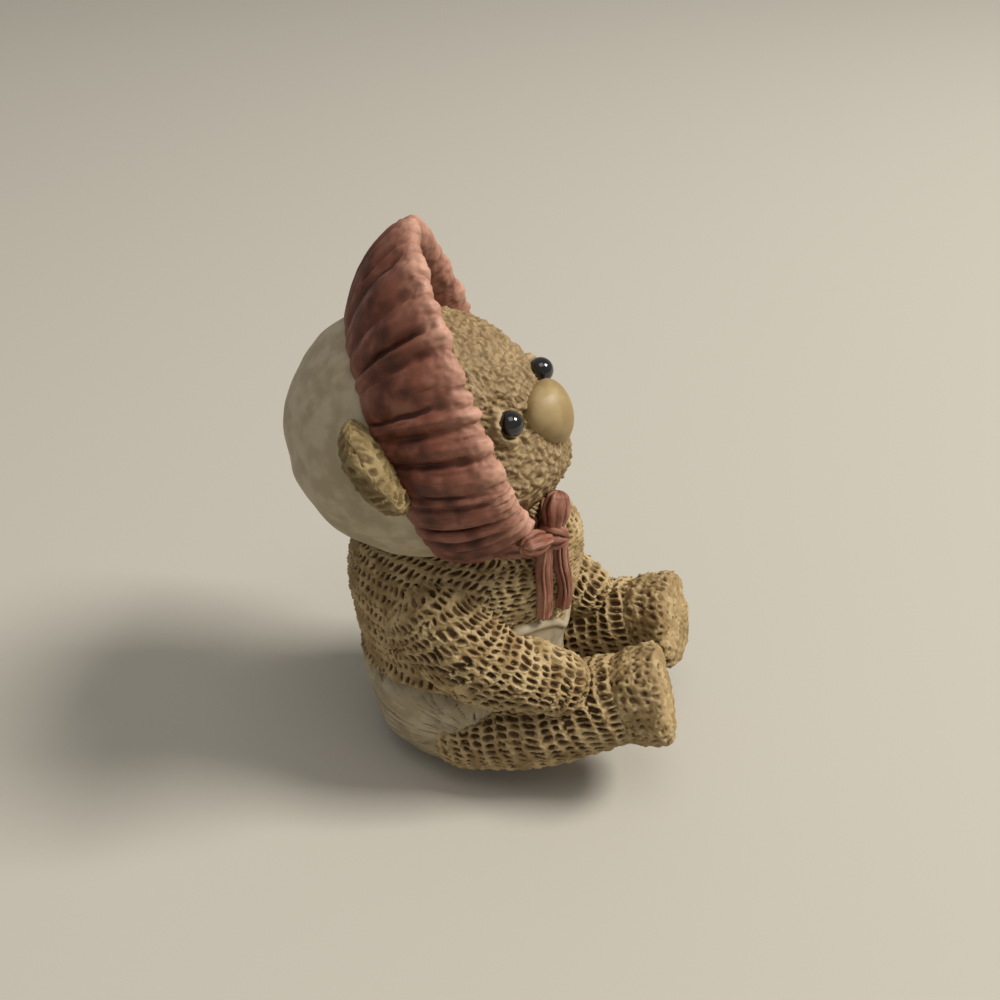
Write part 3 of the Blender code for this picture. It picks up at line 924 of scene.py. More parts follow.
@dataclass(frozen=True)
class Stitches(Relief):
    """One way of knitting: the size of its stitches in mm, and the shape of its pits."""

    band: float = 1.5
    rung: float = 0.82
    rung_end: float = 0.0
    depth: float = 0.55
    raised: float = 0.0
    lip: float = 0.2
    pit_long: float = 1.12
    pit_wide: float = 1.08
    slant: float = 0.3
    waver: float = 1.0
    uneven: float = 0.36
    grain: float = 0.45
    crumple: float = 0.0
    wash: float = 1.0
    seed: int = 1

    def lay(self, along: np.ndarray, girth: np.ndarray, columns: int, tilt: np.ndarray | float = 0.0,
            strength: np.ndarray | float = 1.0) -> np.ndarray:
        """Lays rounds of whole stitches over rings.

        Args:
            along: How far along the skin each ring lies.
            girth: Length round each ring.
            columns: Points in a ring.
            tilt: How far the rounds lean forward at the seam, in mm, at each ring.
            strength: How strong the relief is at each ring or point.

        Returns:
            Round, stitch and strength of every point.
        """
        turn = np.arange(columns) / columns
        lean = np.broadcast_to(tilt, along.shape)[:, None]
        row = (along[:, None] + lean * np.cos(2 * math.pi * turn)) / self.band
        middle = (np.floor(row) + 0.5) * self.band
        rung = np.interp(middle, (along[0], along[-1]), (self.rung, self.rung_end or self.rung))
        count = np.maximum(np.round(np.interp(middle, along, girth) / rung), 3)
        power = np.asarray(strength, float)
        return laid(row, turn * count, power[:, None] if power.ndim == 1 else power)


@dataclass(frozen=True)
class Folds(Relief):
    """Creases, brush marks and lumps of a smooth piece; it is plain unless more is given."""

    depth: float = 0.0
    fine_depth: float = 0.0
    fineness: float = 3.0
    lumps: float = 0.0
    stain: float = 0.0
    wander: float = 1.0
    seed: int = 1


@dataclass(frozen=True)
class Gathers(Relief):
    """Gathers of a frill or pleats of a ribbon."""

    depth: float
    crease_wide: float
    plump: float
    fine: float
    waver: float
    dimple: float = 0.0
    # How strong the painted shade on the middle of a frill's outer face is.
    dull: float = 0.0
    ragged: float = 0.0
    seed: int = 1


class Workshop:
    """Holds the trees and paints, and puts finished pieces into the scene."""

    def __init__(self) -> None:
        """Builds the trees and mixes the paints."""
        effects = Effects()
        self.trees = {Stitches: KnitTree(), Folds: FoldTree(), Gathers: GatherTree()}
        self.materials = {paint: paint.material(effects) for paint in PAINTS}

    def cast(self, name: str, grid: Grid, paint: Paint, relief: Relief) -> None:
        """Makes one piece: its form, its relief and its paint, riding on the figurine.

        Args:
            name: The CAD node that the piece stands for.
            grid: Its form.
            paint: Its paint.
            relief: What is pressed into it.
        """
        piece = bpy.data.objects.new(f"{name}_casting", grid.mesh(name))
        bpy.context.scene.collection.objects.link(piece)
        self.trees[type(relief)].press(piece, relief.values(), self.materials[paint])
        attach(piece, BODY)
        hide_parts(name)
        log.info("%s: %d faces", piece.name, len(piece.data.polygons))


# Sub-assemblies


@dataclass
class Body:
    """Torso and nappy; each of their rows gives shares of the height, the width, the front and the back."""

    shop: Workshop
    wide: float = 10.6
    front: float = 11.7
    back: float = 14.6
    high: float = 32.6
    pitch: float = 0.16
    torso_rows: tuple = (
        (0.17, 0.66, 0.66, 0.54), (0.27, 0.90, 0.82, 0.78), (0.40, 1.00, 0.83, 0.89), (0.57, 1.00, 0.87, 0.96),
        (0.74, 0.97, 0.99, 1.00), (0.88, 0.88, 1.03, 0.91), (0.96, 0.74, 1.01, 0.66),
    )
    torso_shown: tuple[float, float] = (0.24, 0.86)
    chest_angle: float = 62.0
    slit_band: float = 0.66
    slit_rung: float = 1.35
    slit_spread: float = 1.05
    lip: float = 0.65
    lip_high: float = 0.35
    lip_wide: float = 0.6
    gap_deep: float = 0.9
    gap_edge: tuple[float, float] = (-0.25, 0.2)
    back_knit: Stitches = Stitches(band=1.4, rung=0.8, pit_wide=0.95, slant=0.4, depth=0.48, seed=2)
    nappy_rows: tuple = (
        (0.00, 0.60, 0.55, 0.45), (0.035, 0.78, 0.70, 0.62), (0.13, 0.94, 0.82, 0.78), (0.30, 1.00, 0.84, 0.86),
        (0.48, 1.00, 0.84, 0.93), (0.66, 0.99, 0.88, 0.99), (0.80, 0.95, 0.95, 0.98),
    )
    nappy_plus: float = 0.9
    nappy_columns: int = 420
    nappy_levels: int = 120
    waist_side: float = 15.0
    waist_front: float = 23.0
    waist_back: float = 13.2
    waist_dip: float = 5.0
    dip_wide: float = 4.0
    front_rise: tuple[float, float] = (0.0, -7.5)
    back_fall: tuple[float, float] = (5.0, 14.0)
    tuck: float = 1.5
    tuck_high: float = 2.0
    hem: float = 0.6
    hem_angle: float = 58.0
    hem_steps: int = 26
    leg_hole: tuple[float, float] = (-3.0, 9.0)
    leg_hole_streaks: float = 6.5
    streaked: tuple[float, float] = (9.0, 18.0)
    nappy_folds: Folds = Folds(depth=0.03, fine_depth=0.42, fineness=4.0, lumps=0.9, stain=1.0, wander=0.45, seed=8)

    def stations(self, rows: tuple, plus: float) -> np.ndarray:
        """Level sections of the body.

        Args:
            rows: The rows that they come from.
            plus: How much they are grown, in mm.

        Returns:
            x, y, z, half width and half depth of each section.
        """
        made = []
        for high, wide, front, back in rows:
            ahead, behind = (self.front + plus) * front, (self.back + plus) * back
            made.append((0, (behind - ahead) / 2, high * self.high, (self.wide + plus) * wide, (behind + ahead) / 2))
        return np.array(made)

    def chest(self, x: float, z: float) -> float:
        """How far forward the torso reaches.

        Args:
            x: Distance from the middle.
            z: Height.

        Returns:
            y of the chest there.
        """
        rows = smooth_run(self.stations(self.torso_rows, 0), 200)
        _, y, _, wide, deep = rows[np.argmin(np.abs(rows[:, 2] - z))]
        return y - deep * math.sqrt(max(0.0, 1 - (x / wide) ** 2))

    def waist(self, points: np.ndarray) -> np.ndarray:
        """The nappy's waist edge: high at the front, with a dip in its middle.

        Args:
            points: Where it is wanted.

        Returns:
            Its height at each point.
        """
        x, y = points[..., 0], points[..., 1]
        front = self.waist_front - self.waist_side - self.waist_dip * bell(x, 0, self.dip_wide)
        back = self.waist_back - self.waist_side
        return self.waist_side + front * soft_step(*self.front_rise, y) + back * soft_step(*self.back_fall, y)

    def round_back(self, ahead: np.ndarray) -> np.ndarray:
        """1 round the sides and back, 0 at the front where the hem is rolled; ahead is degrees from the front."""
        return soft_step(self.hem_angle - 10, self.hem_angle + 14, np.abs(ahead))

    def build_torso(self) -> None:
        """The knit torso: upright pits in rounds on the back, wide slits on the chest, a lip over the nappy."""
        rows = Rows.through(self.stations(self.torso_rows, 0), 0.5, 0.5, up=(0, 1, 0), level=True)
        length = rows.along[-1]
        marks = marks_between(length, self.pitch, *(length * share for share in self.torso_shown))
        rows = rows.spaced(marks)
        columns = int(max(rows.girth) / self.pitch)
        rings = rows.rings(columns, seam=180.0)
        lay = self.back_knit.lay(marks, rows.girth, columns)
        ahead = np.degrees(np.arctan2(rings[..., 0], -(rings[..., 1] - rows.middle[:, None, 1])))
        aside = np.radians(ahead) * self.wide * self.slit_spread / self.slit_rung
        slits = laid(marks[:, None] / self.slit_band, aside, 1.0)
        lay = np.where((np.abs(ahead) < self.chest_angle)[..., None], slits, lay)
        above, rounded = rings[..., 2] - self.waist(rings), self.round_back(ahead)
        edge = self.lip * bell(above, self.lip_high, self.lip_wide)
        edge = edge - self.gap_deep * (1 - soft_step(*self.gap_edge, above))
        out = unit((rings - rows.middle[:, None]) * (1, 1, 0))
        rings = rings + out * (edge * rounded)[..., None]
        lay[..., 2] *= 1 - 0.5 * bell(above, 0.3, 0.4) * rounded
        step = np.array((0, 0, self.pitch))
        grid = Grid(rings, lay, ends=(rows.middle[0] - step, rows.middle[-1] + step))
        self.shop.cast("torso", grid, KNIT_PAINT, self.back_knit)

    def build_nappy(self) -> None:
        """The white nappy: its waist tucks in under the knit, and is rolled to a hem at the front."""
        rows = smooth_run(self.stations(self.nappy_rows, self.nappy_plus), 400)
        turn = round_angles(self.nappy_columns)
        c, s = np.cos(turn), np.sin(turn)

        def at(high: np.ndarray) -> np.ndarray:
            """Points of the nappy's outer face at these heights."""
            y, wide, deep = (np.interp(high, rows[:, 2], rows[:, k]) for k in (1, 3, 4))
            return np.stack([wide * c, y + deep * s, high], axis=-1)

        top = np.full(self.nappy_columns, self.waist_side)
        for _ in range(12):
            top = self.waist(at(top))
        out = unit(at(top) * (1, 1, 0) - (0, 1, 0))
        tucked = self.round_back(np.degrees(np.arctan2(c, -s)))
        rings = []
        for share in np.linspace(0, 1, self.nappy_levels):
            inward = (1 - soft_step(0, self.tuck_high, top * (1 - share))) * tucked * self.tuck
            rings.append(at(top * share) - out * inward[:, None])
        edge, hem = rings[-1], (self.hem * (1 - 0.8 * tucked))[:, None]
        for angle in np.radians(np.linspace(-60, 180, self.hem_steps)):
            roll = out * (math.cos(angle) - 0.5) + np.array((0, 0, 1)) * (math.sin(angle) + 0.6)
            rings.append(edge + roll * hem)
        for inward in (0.75, 0.4):
            rings.append(rings[-1] * (inward, inward, 1) + (0, 1.0 - inward, 0))
        rings = np.array(rings)
        high, deep = rings[..., 2] - self.leg_hole[1], rings[..., 1] - self.leg_hole[0]
        reach = np.hypot(high, deep)
        strength = (0.2 + 0.8 * (1 - soft_step(*self.streaked, reach))) * soft_step(0.1, 1.6, rings[..., 2])
        strength[self.nappy_levels:] = 0.3
        lay = laid(np.arctan2(high, deep) * self.leg_hole_streaks, reach * 0.05, strength)
        grid = Grid(rings, lay, ends=(np.array((0, 0.3, 0)), np.array((0, 1, self.waist_side + 0.5))))
        self.shop.cast("nappy", grid, NAPPY_PAINT, self.nappy_folds)

    def build(self) -> None:
        """Torso, then nappy."""
        self.build_torso()
        self.build_nappy()


@dataclass
class Limbs:
    """Legs, feet and arms, given for the right side; a thickness has shares for width and height."""

    shop: Workshop
    hip: Point = (-6.7, -1.0, 6.8)
    knee: Point = (-6.7, -9.0, 9.0)
    ankle: Point = (-5.6, -17.5, 13.0)
    thigh: float = 5.8
    shin: float = 4.6
    leg_shares: tuple = ((0.96, 1.0), (0.92, 1.0), (1.1, 1.1))
    leg_end: float = 0.6
    left_out: float = 2.4
    out_shares: tuple = (0.0, 0.85, 1.0, 1.0)
    foot_at: Point = (-5.3, -20.3, 13.8)
    foot_size: Point = (4.7, 3.9, 5.3)
    foot_columns: int = 210
    foot_blunt: float = 3.0
    foot_square: float = 0.16
    foot_swell: float = 0.14
    foot_long: float = 0.8
    foot_heel: float = 1.6
    foot_in: float = 8.0
    foot_up: float = 15.0
    crease: float = 0.5
    crease_high: float = 0.12
    crease_wide: float = 0.13
    shoulder: Point = (-7.4, 2.5, 23.4)
    elbow: Point = (-9.2, -3.2, 19.4)
    wrist: Point = (-8.0, -11.4, 16.6)
    shoulder_thick: float = 6.6
    arm: float = 5.5
    paw: float = 3.4
    arm_shares: tuple = ((0.88, 1.0), (0.86, 1.0), (1.1, 1.0))
    arm_start: float = 0.8
    arm_tilt: float = 2.4
    pitch: float = 0.12
    leg_knit: Stitches = Stitches(band=1.55, rung=0.92, waver=0.8, uneven=0.3, seed=3)
    arm_knit: Stitches = Stitches(band=1.5, rung=0.72, rung_end=1.05, waver=1.2, uneven=0.42, seed=5)
    foot_knit: Stitches = Stitches(band=1.3, rung=1.05, pit_long=0.98, pit_wide=0.9, depth=0.36, lip=0.1, waver=1.3,
                                   uneven=0.5, grain=0.8, crumple=0.12, slant=0.0, wash=0.75, seed=7)

    def build_limb(self, name: str, rows: Rows, knit: Stitches, tilt: float = 0.0) -> None:
        """One knit limb along its rows.

        Args:
            name: Its CAD node.
            rows: Its sections.
            knit: Its stitches.
            tilt: How far the rounds lean forward at the seam, in mm.
        """
        marks = marks_between(rows.along[-1], self.pitch)
        rows = rows.spaced(marks)
        columns = int(max(rows.girth) / self.pitch)
        share = marks / marks[-1]
        lean = tilt * soft_step(0.05, 0.4, share) * (1 - soft_step(0.45, 0.9, share))
        lay = knit.lay(marks, rows.girth, columns, lean)
        tip = unit(np.cross(rows.rise, rows.side)) * 0.02
        grid = Grid(rows.rings(columns), lay, ends=(rows.middle[0] - tip[0], rows.middle[-1] + tip[-1]))
        self.shop.cast(name, grid, KNIT_PAINT, knit)

    def toes(self, way: np.ndarray, place: np.ndarray) -> np.ndarray:
        """Blunts the sole, presses the crease across it and draws the heel out along the leg.

        Args:
            way: Directions from the foot's middle.
            place: Points of the plain ball.

        Returns:
            Points of the foot.
        """
        front = np.maximum(0.0, -way[..., 1])
        blunt = np.where(front > 0, (1 - (1 - front) ** self.foot_blunt) / np.maximum(front, 1e-6), 1.0)
        crease = bell(way[..., 2], self.crease_high, self.crease_wide) * self.crease * np.minimum(1.0, 3 * front)
        corner = np.abs(way[..., 0] * way[..., 2])
        made = place * (1 + self.foot_swell * np.sin(math.pi * front) + self.foot_square * corner)[..., None]
        heel = np.where(way[..., 1] > 0, self.foot_heel, 1.0)
        made[..., 1] = place[..., 1] * blunt * heel * self.foot_long + crease
        return made

    def leg_places(self, side: Side) -> list[np.ndarray]:
        """Where a leg runs; the left one swings further out towards its foot.

        Args:
            side: Which leg.

        Returns:
            Hip, knee, ankle and foot.
        """
        places = [side.place(p) for p in (self.hip, self.knee, self.ankle, self.foot_at)]
        for place, share in zip(places, self.out_shares):
            place[0] += self.left_out * share * max(0, side.value)
        return places

    def build_foot(self, side: Side) -> None:
        """One granular foot, its sole facing forward and smoother than its heel.

        Args:
            side: Which foot.
        """
        sole = turned(tuple(self.leg_places(side)[3]), -self.foot_in * side.value, self.foot_up)
        angles = np.arange(0.02, math.pi - 0.02, 0.03)
        rings, along, girth = ball_rings(self.foot_size, angles, self.foot_columns, self.toes)
        strength = 0.45 + 0.55 * soft_step(0.6, 1.3, angles)
        lay = self.foot_knit.lay(along, girth, self.foot_columns, strength=strength)
        self.shop.cast(f"{side.word}_foot", Grid(placed(rings, sole), lay), KNIT_PAINT, self.foot_knit)

    def stations(self, places: list[np.ndarray], thick: tuple, shares: tuple) -> list:
        """Stations of a limb: each place with its half width and half height."""
        return [(*place, size * wide, size * tall) for place, size, (wide, tall) in zip(places, thick, shares)]

    def build(self) -> None:
        """Both sides, from the hip down and from the shoulder down."""
        for side in Side:
            stations = self.stations(self.leg_places(side), (self.thigh, self.thigh, self.shin), self.leg_shares)
            self.build_limb(f"{side.word}_leg", Rows.through(stations, end=self.leg_end), self.leg_knit)
            self.build_foot(side)
            places = [side.place(p) for p in (self.shoulder, self.elbow, self.wrist)]
            stations = self.stations(places, (self.shoulder_thick, self.arm, self.paw), self.arm_shares)
            rows = Rows.through(stations, start=self.arm_start)
            self.build_limb(f"{side.word}_arm", rows, self.arm_knit, self.arm_tilt)


@dataclass
class Head:
    """Head, bead eyes and muzzle, in the frame of the face."""

    shop: Workshop
    at: Point = (0.0, 5.1, 42.4)
    size: Point = (11.4, 13.2, 12.4)
    cheek: float = 3.0
    cheek_low: float = -0.45
    cheek_tall: float = 0.39
    cheek_way: Point = (0.5, 1.0, 0.4)
    turn: float = -4.0
    up: float = 12.0
    pitch: float = 0.15
    long_radius: float = 12.5
    cross_radius: float = 12.2
    bonnet_angle: float = 2.05
    eye_apart: float = 5.3
    eye_rise: float = 2.9
    eye_radius: float = 1.35
    eye_out: float = 0.3
    eye_mesh: tuple[int, int] = (60, 96)
    socket_rim: float = 0.8
    socket_rim_at: float = 1.2
    socket_rim_wide: float = 0.45
    socket_hollow: float = 0.8
    socket_hollow_wide: float = 1.1
    socket_clear: tuple[float, float] = (0.4, 1.0)
    # How much paler the rim round an eye is painted: a painted highlight.
    socket_highlight: float = 0.8
    nose_side: tuple[float, float] = (-0.4, 0.9)
    muzzle_size: Point = (4.4, 2.5, 3.4)
    muzzle_mesh: tuple[int, int] = (110, 150)
    muzzle_rise: float = 0.8
    muzzle_point: float = 0.44
    muzzle_ridge: float = 1.8
    knit: Stitches = Stitches(band=0.9, rung=0.85, depth=0.18, raised=1.0, lip=0.0, pit_long=1.4, pit_wide=1.3,
                              waver=2.0, uneven=0.45, grain=0.9, crumple=0.2, wash=0.5, seed=11)
    muzzle_folds: Folds = Folds(fine_depth=0.01, lumps=0.3, stain=0.3, seed=4)

    @property
    def face(self) -> np.ndarray:
        """The frame of the face."""
        return turned(self.at, self.turn, self.up)

    def cheeks(self, way: np.ndarray, place: np.ndarray) -> np.ndarray:
        """Swells the lower front of the head into cheeks and chin.

        Args:
            way: Directions from the head's middle.
            place: Points of the plain ball.

        Returns:
            Points of the head.
        """
        front = np.maximum(0.0, -way[..., 1]) ** 1.5
        low = bell(way[..., 2], self.cheek_low, self.cheek_tall)
        return place + way * self.cheek_way * (self.cheek * front * low)[..., None]

    def on_head(self, x: float, z: float) -> np.ndarray:
        """A place on the front of the head.

        Args:
            x: Distance to the left of its middle.
            z: Distance above its middle.

        Returns:
            The place in the frame of the face.
        """
        wide, long, tall = self.size
        y = -long * math.sqrt(max(0.0, 1 - (x / wide) ** 2 - (z / tall) ** 2))
        place = np.array((x, y, z))
        return self.cheeks(unit(place / self.size), place)

    def eye_spot(self, side: Side) -> np.ndarray:
        """The middle of a bead."""
        spot = self.on_head(self.eye_apart * side.value, self.eye_rise)
        return spot + unit(spot) * self.eye_radius * self.eye_out

    def build_head(self) -> None:
        """The knit head, with a raised rim round each eye painted paler as a painted highlight, and a hollow beside
        the nose.
        """
        fine = self.pitch / self.long_radius
        shown = np.arange(fine, self.bonnet_angle, fine)
        angles = np.concatenate([shown, np.arange(self.bonnet_angle, math.pi - 0.02, 0.08)])
        columns = int(2 * math.pi * self.cross_radius / self.pitch)
        rings, along, girth = ball_rings(self.size, angles, columns, self.cheeks)
        strength = np.ones(rings.shape[:2])
        tint = np.zeros(rings.shape[:2])
        for side in Side:
            spot = self.eye_spot(side)
            apart = np.linalg.norm(rings - spot, axis=-1)
            rim = bell(apart, self.eye_radius * self.socket_rim_at, self.socket_rim_wide)
            nose = soft_step(*self.nose_side, abs(spot[0]) - rings[..., 0] * side.value)
            hollow = bell(apart, self.eye_radius, self.socket_hollow_wide) * nose * self.socket_hollow
            rings = rings + unit(rings) * (rim * self.socket_rim * (1 - nose) - hollow)[..., None]
            # Painted highlight: the raised rim round each eye is painted paler, as where light catches it.
            tint = np.maximum(tint, rim * self.socket_highlight)
            strength = strength * soft_step(*(self.eye_radius + clear for clear in self.socket_clear), apart)
        lay = self.knit.lay(along, girth, columns, strength=strength)
        self.shop.cast("head", Grid(placed(rings, self.face), lay, tint), FACE_PAINT, self.knit)

    def build_eyes(self) -> None:
        """Two glossy beads."""
        count, columns = self.eye_mesh
        for side in Side:
            rings, _, _ = ball_rings((self.eye_radius,) * 3, tip_to_tip(count, 0.03), columns)
            rings = placed(rings + self.eye_spot(side), self.face)
            self.shop.cast(f"{side.word}_eye", Grid(rings, np.zeros(rings.shape)), BEAD_GLOSS, Folds())

    def snout(self, way: np.ndarray, place: np.ndarray) -> np.ndarray:
        """Narrows the muzzle from its bridge to its lower tip, and draws it to a soft ridge.

        Args:
            way: Directions from the muzzle's middle.
            place: Points of the plain ball.

        Returns:
            Points of the muzzle.
        """
        power = self.muzzle_ridge
        flat = np.maximum(np.hypot(way[..., 0], way[..., 1]), 1e-6)
        sharp = (np.abs(way[..., 0]) ** power + np.abs(way[..., 1]) ** power) ** (1 / power) / flat
        share = self.muzzle_point + (1 - self.muzzle_point) * (way[..., 2] + 1) / 2
        x = place[..., 0] * share / sharp
        bend = x**2 * self.size[1] / (2 * self.size[0] ** 2)
        return np.stack([x, place[..., 1] / sharp + bend, place[..., 2]], axis=-1)

    def build_muzzle(self) -> None:
        """The smooth muzzle."""
        count, columns = self.muzzle_mesh
        rings, _, _ = ball_rings(self.muzzle_size, tip_to_tip(count), columns, self.snout)
        lay = laid(rings[..., 0] * 0.8, rings[..., 2] * 0.25, 0.4)
        rings = placed(rings + self.on_head(0, self.muzzle_rise), self.face)
        self.shop.cast("muzzle", Grid(rings, lay), MUZZLE_PAINT, self.muzzle_folds)

    def build(self) -> None:
        """Head, eyes and muzzle."""
        self.build_head()
        self.build_eyes()
        self.build_muzzle()


@dataclass
class Bonnet:
    """White cap, gathered pink brim and the ears, in the bonnet's own frame.

    A station of the brim's section gives how far it lies from root to rim, its thickness and, outside, its creases.
    """

    shop: Workshop
    head: Head
    turn: float = 18.0
    up: float = 20.0
    cap_plus: float = 1.4
    cap_edge: float = 2.2
    cap_columns: int = 420
    cap_step: float = 0.014
    cap_streaks: float = 3.2
    cap_closing: tuple = ((0.97, -0.15), (0.9, -0.2), (0.6, 0.0), (0.2, 0.0))
    gathers: int = 32
    gather_columns: int = 26
    outer_section: tuple = ((0.0, 0.8, 0.3), (0.35, 0.9, 0.9), (0.7, 1.0, 1.0), (1.0, 1.1, 0.5))
    inner_section: tuple = ((1.0, 1.0), (0.7, 1.0), (0.35, 0.9), (0.0, 0.8))
    section_along: tuple = (0.0, 0.35, 0.7, 1.0, 1.05, 1.0, 0.7, 0.35, 0.0, 0.0)
    section_mask: tuple = (1.0, 1.0, 1.0, 0.8, 0.35, 0.4, 0.5, 0.5, 0.5, 1.0)
    section_steps: int = 11
    crease_deep: float = 0.8
    gather_puff: float = 0.25
    rim_puffs: float = 46.0
    rim_roll: float = 0.7
    # How much paler the rolled rim is painted: partly dry-brushed paint, partly a painted highlight.
    rim_highlight: float = 1.25
    thick: float = 2.2
    puff: float = 1.1
    wide: float = 14.0
    top: float = 19.2
    low: float = 13.0
    reach: float = 8.4
    sweep: float = 8.0
    open: float = 28.0
    ear_size: Point = (4.6, 1.5, 5.0)
    ear_mesh: tuple[int, int] = (120, 190)
    ear_rise: float = 20.0
    ear_lean: float = 12.0
    ear_full: float = 1.7
    ear_knit: Stitches = Stitches(band=1.7, rung=1.1, depth=0.16, lip=0.1, grain=0.5, crumple=0.08, wash=0.6, seed=13)
    cap_folds: Folds = Folds(depth=0.02, fine_depth=0.06, lumps=1.2, stain=0.3, wander=1.2, seed=21)
    frill: Gathers = Gathers(depth=0.2, crease_wide=0.12, plump=0.1, dimple=0.3, fine=0.08, dull=0.6, ragged=0.7,
                             waver=0.3, seed=5)

    @property
    def frame(self) -> np.ndarray:
        """The bonnet's frame."""
        return turned(self.head.at, self.turn, self.up)

    @property
    def cap_size(self) -> Point:
        """Half sizes of the cap: what the turned head reaches along the bonnet's axes, and the cap's own part."""
        lean = self.frame[:3, :3].T @ self.head.face[:3, :3]
        return tuple(np.sqrt(((lean * np.array(self.head.size)) ** 2).sum(1)) + self.cap_plus)

    def build_cap(self) -> None:
        """The back of the cap, brushed white, with creases running from its crown to the brim."""
        edge = math.acos(-self.cap_edge / self.cap_size[1])
        angles = np.arange(math.pi - 0.02, edge, -self.cap_step)
        rings, _, _ = ball_rings(self.cap_size, angles, self.cap_columns)
        closing = [rings[-1] * (share, 1, share) + (0, deep, 0) for share, deep in self.cap_closing]
        rings = np.concatenate([rings, closing])
        turn = round_angles(self.cap_columns)
        reach = np.linspace(0, 1, len(rings))[:, None]
        lay = laid(np.sin(turn) * self.cap_streaks, np.cos(turn) * self.cap_streaks, soft_step(0.25, 0.7, reach))
        self.shop.cast("bonnet_cap", Grid(placed(rings, self.frame), lay), WHITE_PAINT, self.cap_folds)

    def creases(self) -> tuple[np.ndarray, np.ndarray]:
        """Where the crease before each gather lies round the brim, from 0 to 1, and how deep it is."""
        k = np.arange(self.gathers)
        return (k + 0.5 + 0.25 * np.sin(2.4 * k)) / self.gathers, 0.6 + 0.4 * np.sin(1.7 * k)

    def rise(self, share: np.ndarray) -> np.ndarray:
        """The rise of a gather or the fall of a crease.

        Args:
            share: Places round the brim, from 0 to 1.

        Returns:
            The rise at each place, in gather puffs.
        """
        places, values = [0.0], [1.0]
        middles, depths = self.creases()
        near = 0.2 / self.gathers
        for at, beside, deep in zip(middles, [*middles[1:], 1.0], depths):
            places += [at - near, at, at + near, (at + beside) / 2]
            values += [0.2, -self.crease_deep / self.gather_puff * deep, 0.2, 1.0]
        made = np.interp(share, [*places[:-1], 1.0], values)
        return np.convolve(np.pad(made, 2, "edge"), (0.1, 0.2, 0.4, 0.2, 0.1), "valid")

    def puffs(self, share: np.ndarray) -> np.ndarray:
        """The small puffs along the rim.

        Args:
            share: Places round the brim, from 0 to 1.

        Returns:
            Their height at each place, from 0.3 to 1.
        """
        phase = share * self.rim_puffs + 0.35 * np.sin(share * 61) + 0.3 * np.sin(share * 23)
        size = 0.7 + 0.3 * np.sin(2.3 * np.floor(phase))
        return 0.3 + 0.7 * size * np.abs(np.sin(math.pi * phase)) ** 0.7

    def build_brim(self) -> None:
        """The gathered brim: a thick flaring ring, open under the chin, with a rolled wavy rim painted paler, partly
        dry-brushed paint and partly a painted highlight.
        """
        around = self.gathers * self.gather_columns
        share = np.linspace(0, 1, around)
        turn = math.radians(180 - self.open) * (2 * share - 1)
        s, c = np.sin(turn), np.cos(turn)
        wide, _, tall = self.cap_size
        inset = self.thick * 0.3
        base = np.stack([s * (wide - inset), np.full(around, self.cap_edge), c * (tall - inset)], -1)
        end = turn + math.radians(self.sweep) * s * (1 + c)
        reach = np.where(np.cos(end) > 0, self.top, self.low)
        rim = np.stack([np.sin(end) * self.wide, np.full(around, self.cap_edge - self.reach), np.cos(end) * reach], -1)
        out = unit(np.stack([s, np.full(around, 0.35), c], -1))
        puff = (self.rise(share) * self.gather_puff)[:, None]
        section = []
        for along, thick, crease in self.outer_section:
            lift = puff * crease + self.puff * math.sin(math.pi * along)
            section.append(base + (rim - base) * along + out * (self.thick * 0.5 * thick + lift))
        section.append(rim + unit(rim - base) * (self.thick * 0.45 + puff * 0.3))
        for along, thick in self.inner_section:
            section.append(base + (rim - base) * along - out * (self.thick * 0.5 * thick - puff * 0.3))
        count = len(section) * self.section_steps
        loops = smooth_run(np.stack(section).reshape(len(section), -1), count, ring=True)
        loops = loops.reshape(count, around, 3).transpose(1, 0, 2)
        steps, knots = np.arange(count) / self.section_steps, np.arange(len(section) + 1)
        along = np.interp(steps, knots, self.section_along)
        mask = np.interp(steps, knots, self.section_mask)
        order = np.interp(share, self.creases()[0], np.arange(self.gathers) + 100.5)[:, None]
        roll = bell(steps, 4.0, 0.95) * self.puffs(share)[:, None]
        heart = (base + (rim - base) * 0.93)[:, None]
        loops = loops + unit(loops - heart) * (self.rim_roll * roll)[..., None]
        # The rolled rim is painted paler by how far it rolls: partly dry-brushed paint, partly a painted highlight.
        grid = Grid(placed(loops, self.frame), laid(order, along, mask), np.minimum(self.rim_highlight * roll, 1.0))
        self.shop.cast("bonnet_ruffle", grid, PINK_PAINT, self.frill)

    def build_ears(self) -> None:
        """Flat knit ears at the cap's edge, fuller at the back, in darker paint as painted shade."""
        wide, _, tall = self.cap_size
        up = math.radians(self.ear_rise)
        behind = self.cap_edge + self.ear_size[1] * 0.6
        lean = Matrix.Rotation(math.radians(-self.ear_lean), 4, "X")
        count, columns = self.ear_mesh
        for side in Side:
            spot = Vector((math.cos(up) * wide * side.value, behind, math.sin(up) * tall))
            place = np.array(Matrix.Translation(spot) @ Matrix.Rotation(-up * side.value, 4, "Y") @ lean)
            rings, along, girth = ball_rings(self.ear_size, tip_to_tip(count), columns)
            rings[..., 1] *= np.where(rings[..., 1] > 0, self.ear_full, 1.0)
            lay = self.ear_knit.lay(along, girth, columns)
            grid = Grid(placed(placed(rings, place), self.frame), lay)
            self.shop.cast(f"{side.word}_ear", grid, EAR_SHADED_PAINT, self.ear_knit)

    def build(self) -> None:
        """Cap, brim and ears."""
        self.build_cap()
        self.build_brim()
        self.build_ears()


